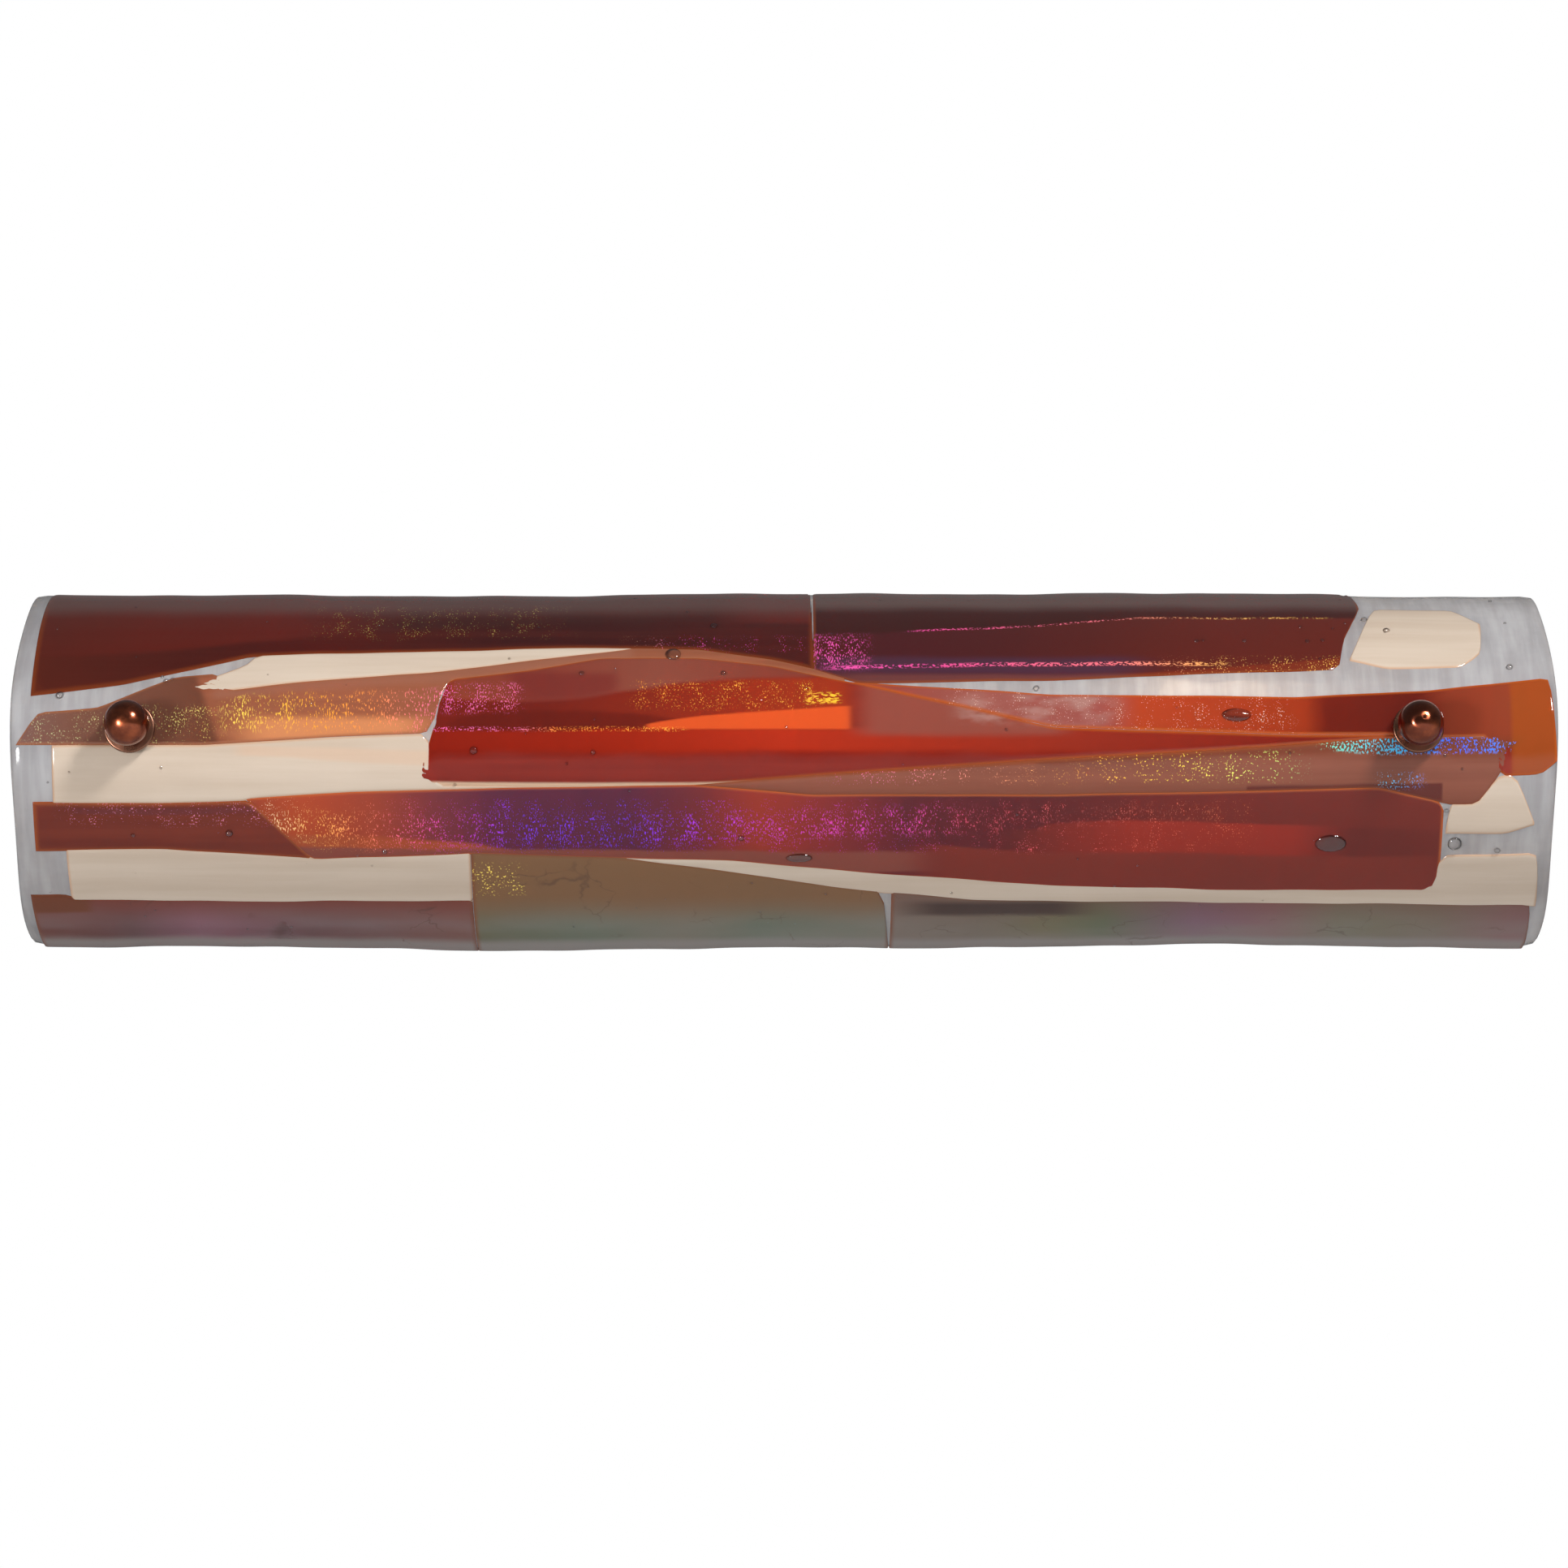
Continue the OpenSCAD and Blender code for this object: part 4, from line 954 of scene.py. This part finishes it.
def knob_copper(name, anisotropic):
    """Oil-rubbed copper turned on a lathe, with fine rings about the knob's axis."""
    k = Kit(name)
    rings = k.noise(k.stretch(k.position(), (0, 2200, 0)), 1.0, 3.0, 0.7)
    cloud = k.noise(k.position(), 120.0, 4.0, 0.6)
    shade = k.blend(k.band(cloud, 0.35, 0.7), (0.15, 0.035, 0.018), (0.34, 0.085, 0.035))
    rough = k.band(cloud, 0.3, 0.7, 0.17, 0.27)
    tangent = k.node("Tangent", direction_type="RADIAL", axis="Y")
    return k.finish(k.node("BsdfPrincipled", {
        "Base Color": shade, "Metallic": 1.0, "Roughness": rough, "Anisotropic": anisotropic,
        "Tangent": tangent, "Normal": k.bump(rings, 0.012 * MM), "Coat Weight": 0.25,
        "Coat Roughness": 0.06}))


LAMP_GLOW = 24.0


def lamp_material():
    """Frosted glass, lit from inside: brightest where the filament is, dimmer at the neck."""
    k = Kit("lit_frosted_glass")
    z = k.split(k.position())[2]
    globe_low, globe_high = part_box("centre_bulb_glass")
    glow = k.band(z, globe_low.z, (globe_low.z + globe_high.z) / 2, 6.0, LAMP_GLOW)
    frost = k.bump(k.noise(k.position(), 1800.0, 2.0), 0.02 * MM)
    rough = k.band(k.noise(k.position(), 60.0), 0.3, 0.7, 0.42, 0.55)
    return k.finish(k.node("BsdfPrincipled", {
        "Base Color": (0.9, 0.88, 0.84), "Roughness": rough,
        "Emission Color": srgb(255, 222, 184), "Emission Strength": glow, "Normal": frost}))


# How wide the broken edges of each piece are, in mm
EDGE_BREAK = {
    "back_pan": 0.7, "wall_bracket": 0.4, "left_lamp_bracket": 0.35, "centre_lamp_bracket": 0.35,
    "right_lamp_bracket": 0.35, "left_lampholder": 0.9, "centre_lampholder": 0.9,
    "right_lampholder": 0.9, "cap_nuts": 0.3, "stud_nuts": 0.35, "post_nuts": 0.35,
    "bracket_screws": 0.5, "holder_screws": 0.5, "ground_screw": 0.5, "wire_bushings": 0.4,
    "wire_connectors": 0.5, "left_washer": 0.6, "right_washer": 0.6, "left_post": 0.35,
    "right_post": 0.35, "bracket_studs": 0.35, "post_lock_washers": 0.2, "screw_shells": 0.4,
    "contact_tabs": 0.15, "left_bulb_cap": 0.3, "centre_bulb_cap": 0.3, "right_bulb_cap": 0.3,
    "left_bulb_contact": 0.3, "centre_bulb_contact": 0.3, "right_bulb_contact": 0.3,
}
BODY_OF = {n: b for b, names in frame["record"]["behaviour"]["bodies"].items() for n in names}


def soften(node, width, look):
    """A copy of a CAD piece with its sharp edges broken, as stamping, turning and moulding leave them."""
    bm = bmesh.new()
    bm.from_mesh(nodes[node].data)
    bmesh.ops.remove_doubles(bm, verts=bm.verts, dist=1e-6)
    bmesh.ops.dissolve_limit(bm, angle_limit=math.radians(1), verts=bm.verts, edges=bm.edges)
    mesh = bpy.data.meshes.new(node + "_piece")
    bm.to_mesh(mesh)
    bm.free()
    obj = bpy.data.objects.new(node + "_piece", mesh)
    bpy.context.scene.collection.objects.link(obj)
    bevel = obj.modifiers.new("edge", "BEVEL")
    bevel.width = width * MM
    bevel.segments = 3
    bevel.limit_method = "ANGLE"
    bevel.angle_limit = math.radians(40)
    bevel.use_clamp_overlap = True
    apply_modifiers(obj)
    obj.data.set_sharp_from_angle(angle=math.radians(30))
    place(obj, BODY_OF[node], SLOT_OF[node], [look], node)


lit = lamp_material()
looks = {}
for m in frame["record"]["materials"]:
    if m["class"] in FINISH:
        looks[m["slot"]] = worn(m["slot"] + "_look", tuple(m["base_color"][:3]), *FINISH[m["class"]])
knob_looks = {"left_knob": knob_copper("left_knob_copper", 0.25),
              "right_knob": knob_copper("right_knob_copper", 0.85)}
for name, obj in nodes.items():
    if name in STRIPS or name == "shade_sheet":
        continue
    look = lit if name.endswith("bulb_glass") else knob_looks.get(name) or looks[SLOT_OF[name]]
    if name in EDGE_BREAK:
        soften(name, EDGE_BREAK[name], look)
    else:
        obj.data.materials.clear()
        obj.data.materials.append(look)

# ---------- floor, light and camera ----------

FLOOR_Z = -0.62
STUDIO_LIGHT = 0.17
LIGHTS_AIM = (0, -0.1, 0)


def floor():
    bpy.ops.mesh.primitive_plane_add(size=30, location=(0, 0, FLOOR_Z))
    plane = bpy.context.object
    plane.name = "floor"
    k = Kit("pale_floor")
    plane.data.materials.append(k.finish(k.node("BsdfDiffuse", {"Color": (0.8, 0.8, 0.8)})))


def world():
    """White to the camera, and a dim even light to everything else."""
    w = bpy.data.worlds.new("studio")
    bpy.context.scene.world = w
    w.use_nodes = True
    nt = w.node_tree
    nt.nodes.clear()
    out = nt.nodes.new("ShaderNodeOutputWorld")
    backdrop = nt.nodes.new("ShaderNodeBackground")
    backdrop.inputs[0].default_value = (1, 1, 1, 1)
    backdrop.inputs[1].default_value = 1.0
    light = nt.nodes.new("ShaderNodeBackground")
    light.inputs[0].default_value = (1, 1, 1, 1)
    light.inputs[1].default_value = STUDIO_LIGHT
    path = nt.nodes.new("ShaderNodeLightPath")
    mix = nt.nodes.new("ShaderNodeMixShader")
    nt.links.new(path.outputs["Is Camera Ray"], mix.inputs[0])
    nt.links.new(light.outputs[0], mix.inputs[1])
    nt.links.new(backdrop.outputs[0], mix.inputs[2])
    nt.links.new(mix.outputs[0], out.inputs[0])


def softbox(name, at, size, power):
    data = bpy.data.lights.new(name, "AREA")
    data.shape = "RECTANGLE"
    data.size, data.size_y = size
    data.energy = power
    obj = bpy.data.objects.new(name, data)
    obj.location = at
    obj.rotation_euler = (Vector(LIGHTS_AIM) - Vector(at)).to_track_quat("-Z", "Y").to_euler()
    bpy.context.scene.collection.objects.link(obj)


# The camera looks up at the light; VIEW_W is what it sees across at the crest
LOOK_UP = math.radians(11.1)
CAMERA_D = 2.2
VIEW_W = 616.5 * MM
CREST_ABOVE_MIDDLE = 21.4 * MM


def camera():
    forward = Vector((0, math.cos(LOOK_UP), math.sin(LOOK_UP)))
    up = Vector((0, -math.sin(LOOK_UP), math.cos(LOOK_UP)))
    crest = Vector((MID_X, CREST_Y - STRIP_T, 0))
    target = crest - up * CREST_ABOVE_MIDDLE
    data = bpy.data.cameras.new("camera")
    data.sensor_width = 36
    data.lens = data.sensor_width * CAMERA_D / VIEW_W
    obj = bpy.data.objects.new("camera", data)
    obj.location = target - forward * CAMERA_D
    obj.rotation_euler = (target - obj.location).to_track_quat("-Z", "Y").to_euler()
    bpy.context.scene.collection.objects.link(obj)
    bpy.context.scene.camera = obj


floor()
world()
softbox("key", (1.3, -1.9, 1.5), (0.5, 0.5), 84)
softbox("fill", (-1.5, -1.9, -0.4), (0.4, 0.4), 34)
camera()
bpy.context.scene.view_settings.view_transform = "Standard"
bpy.context.scene.cycles.use_denoising = True
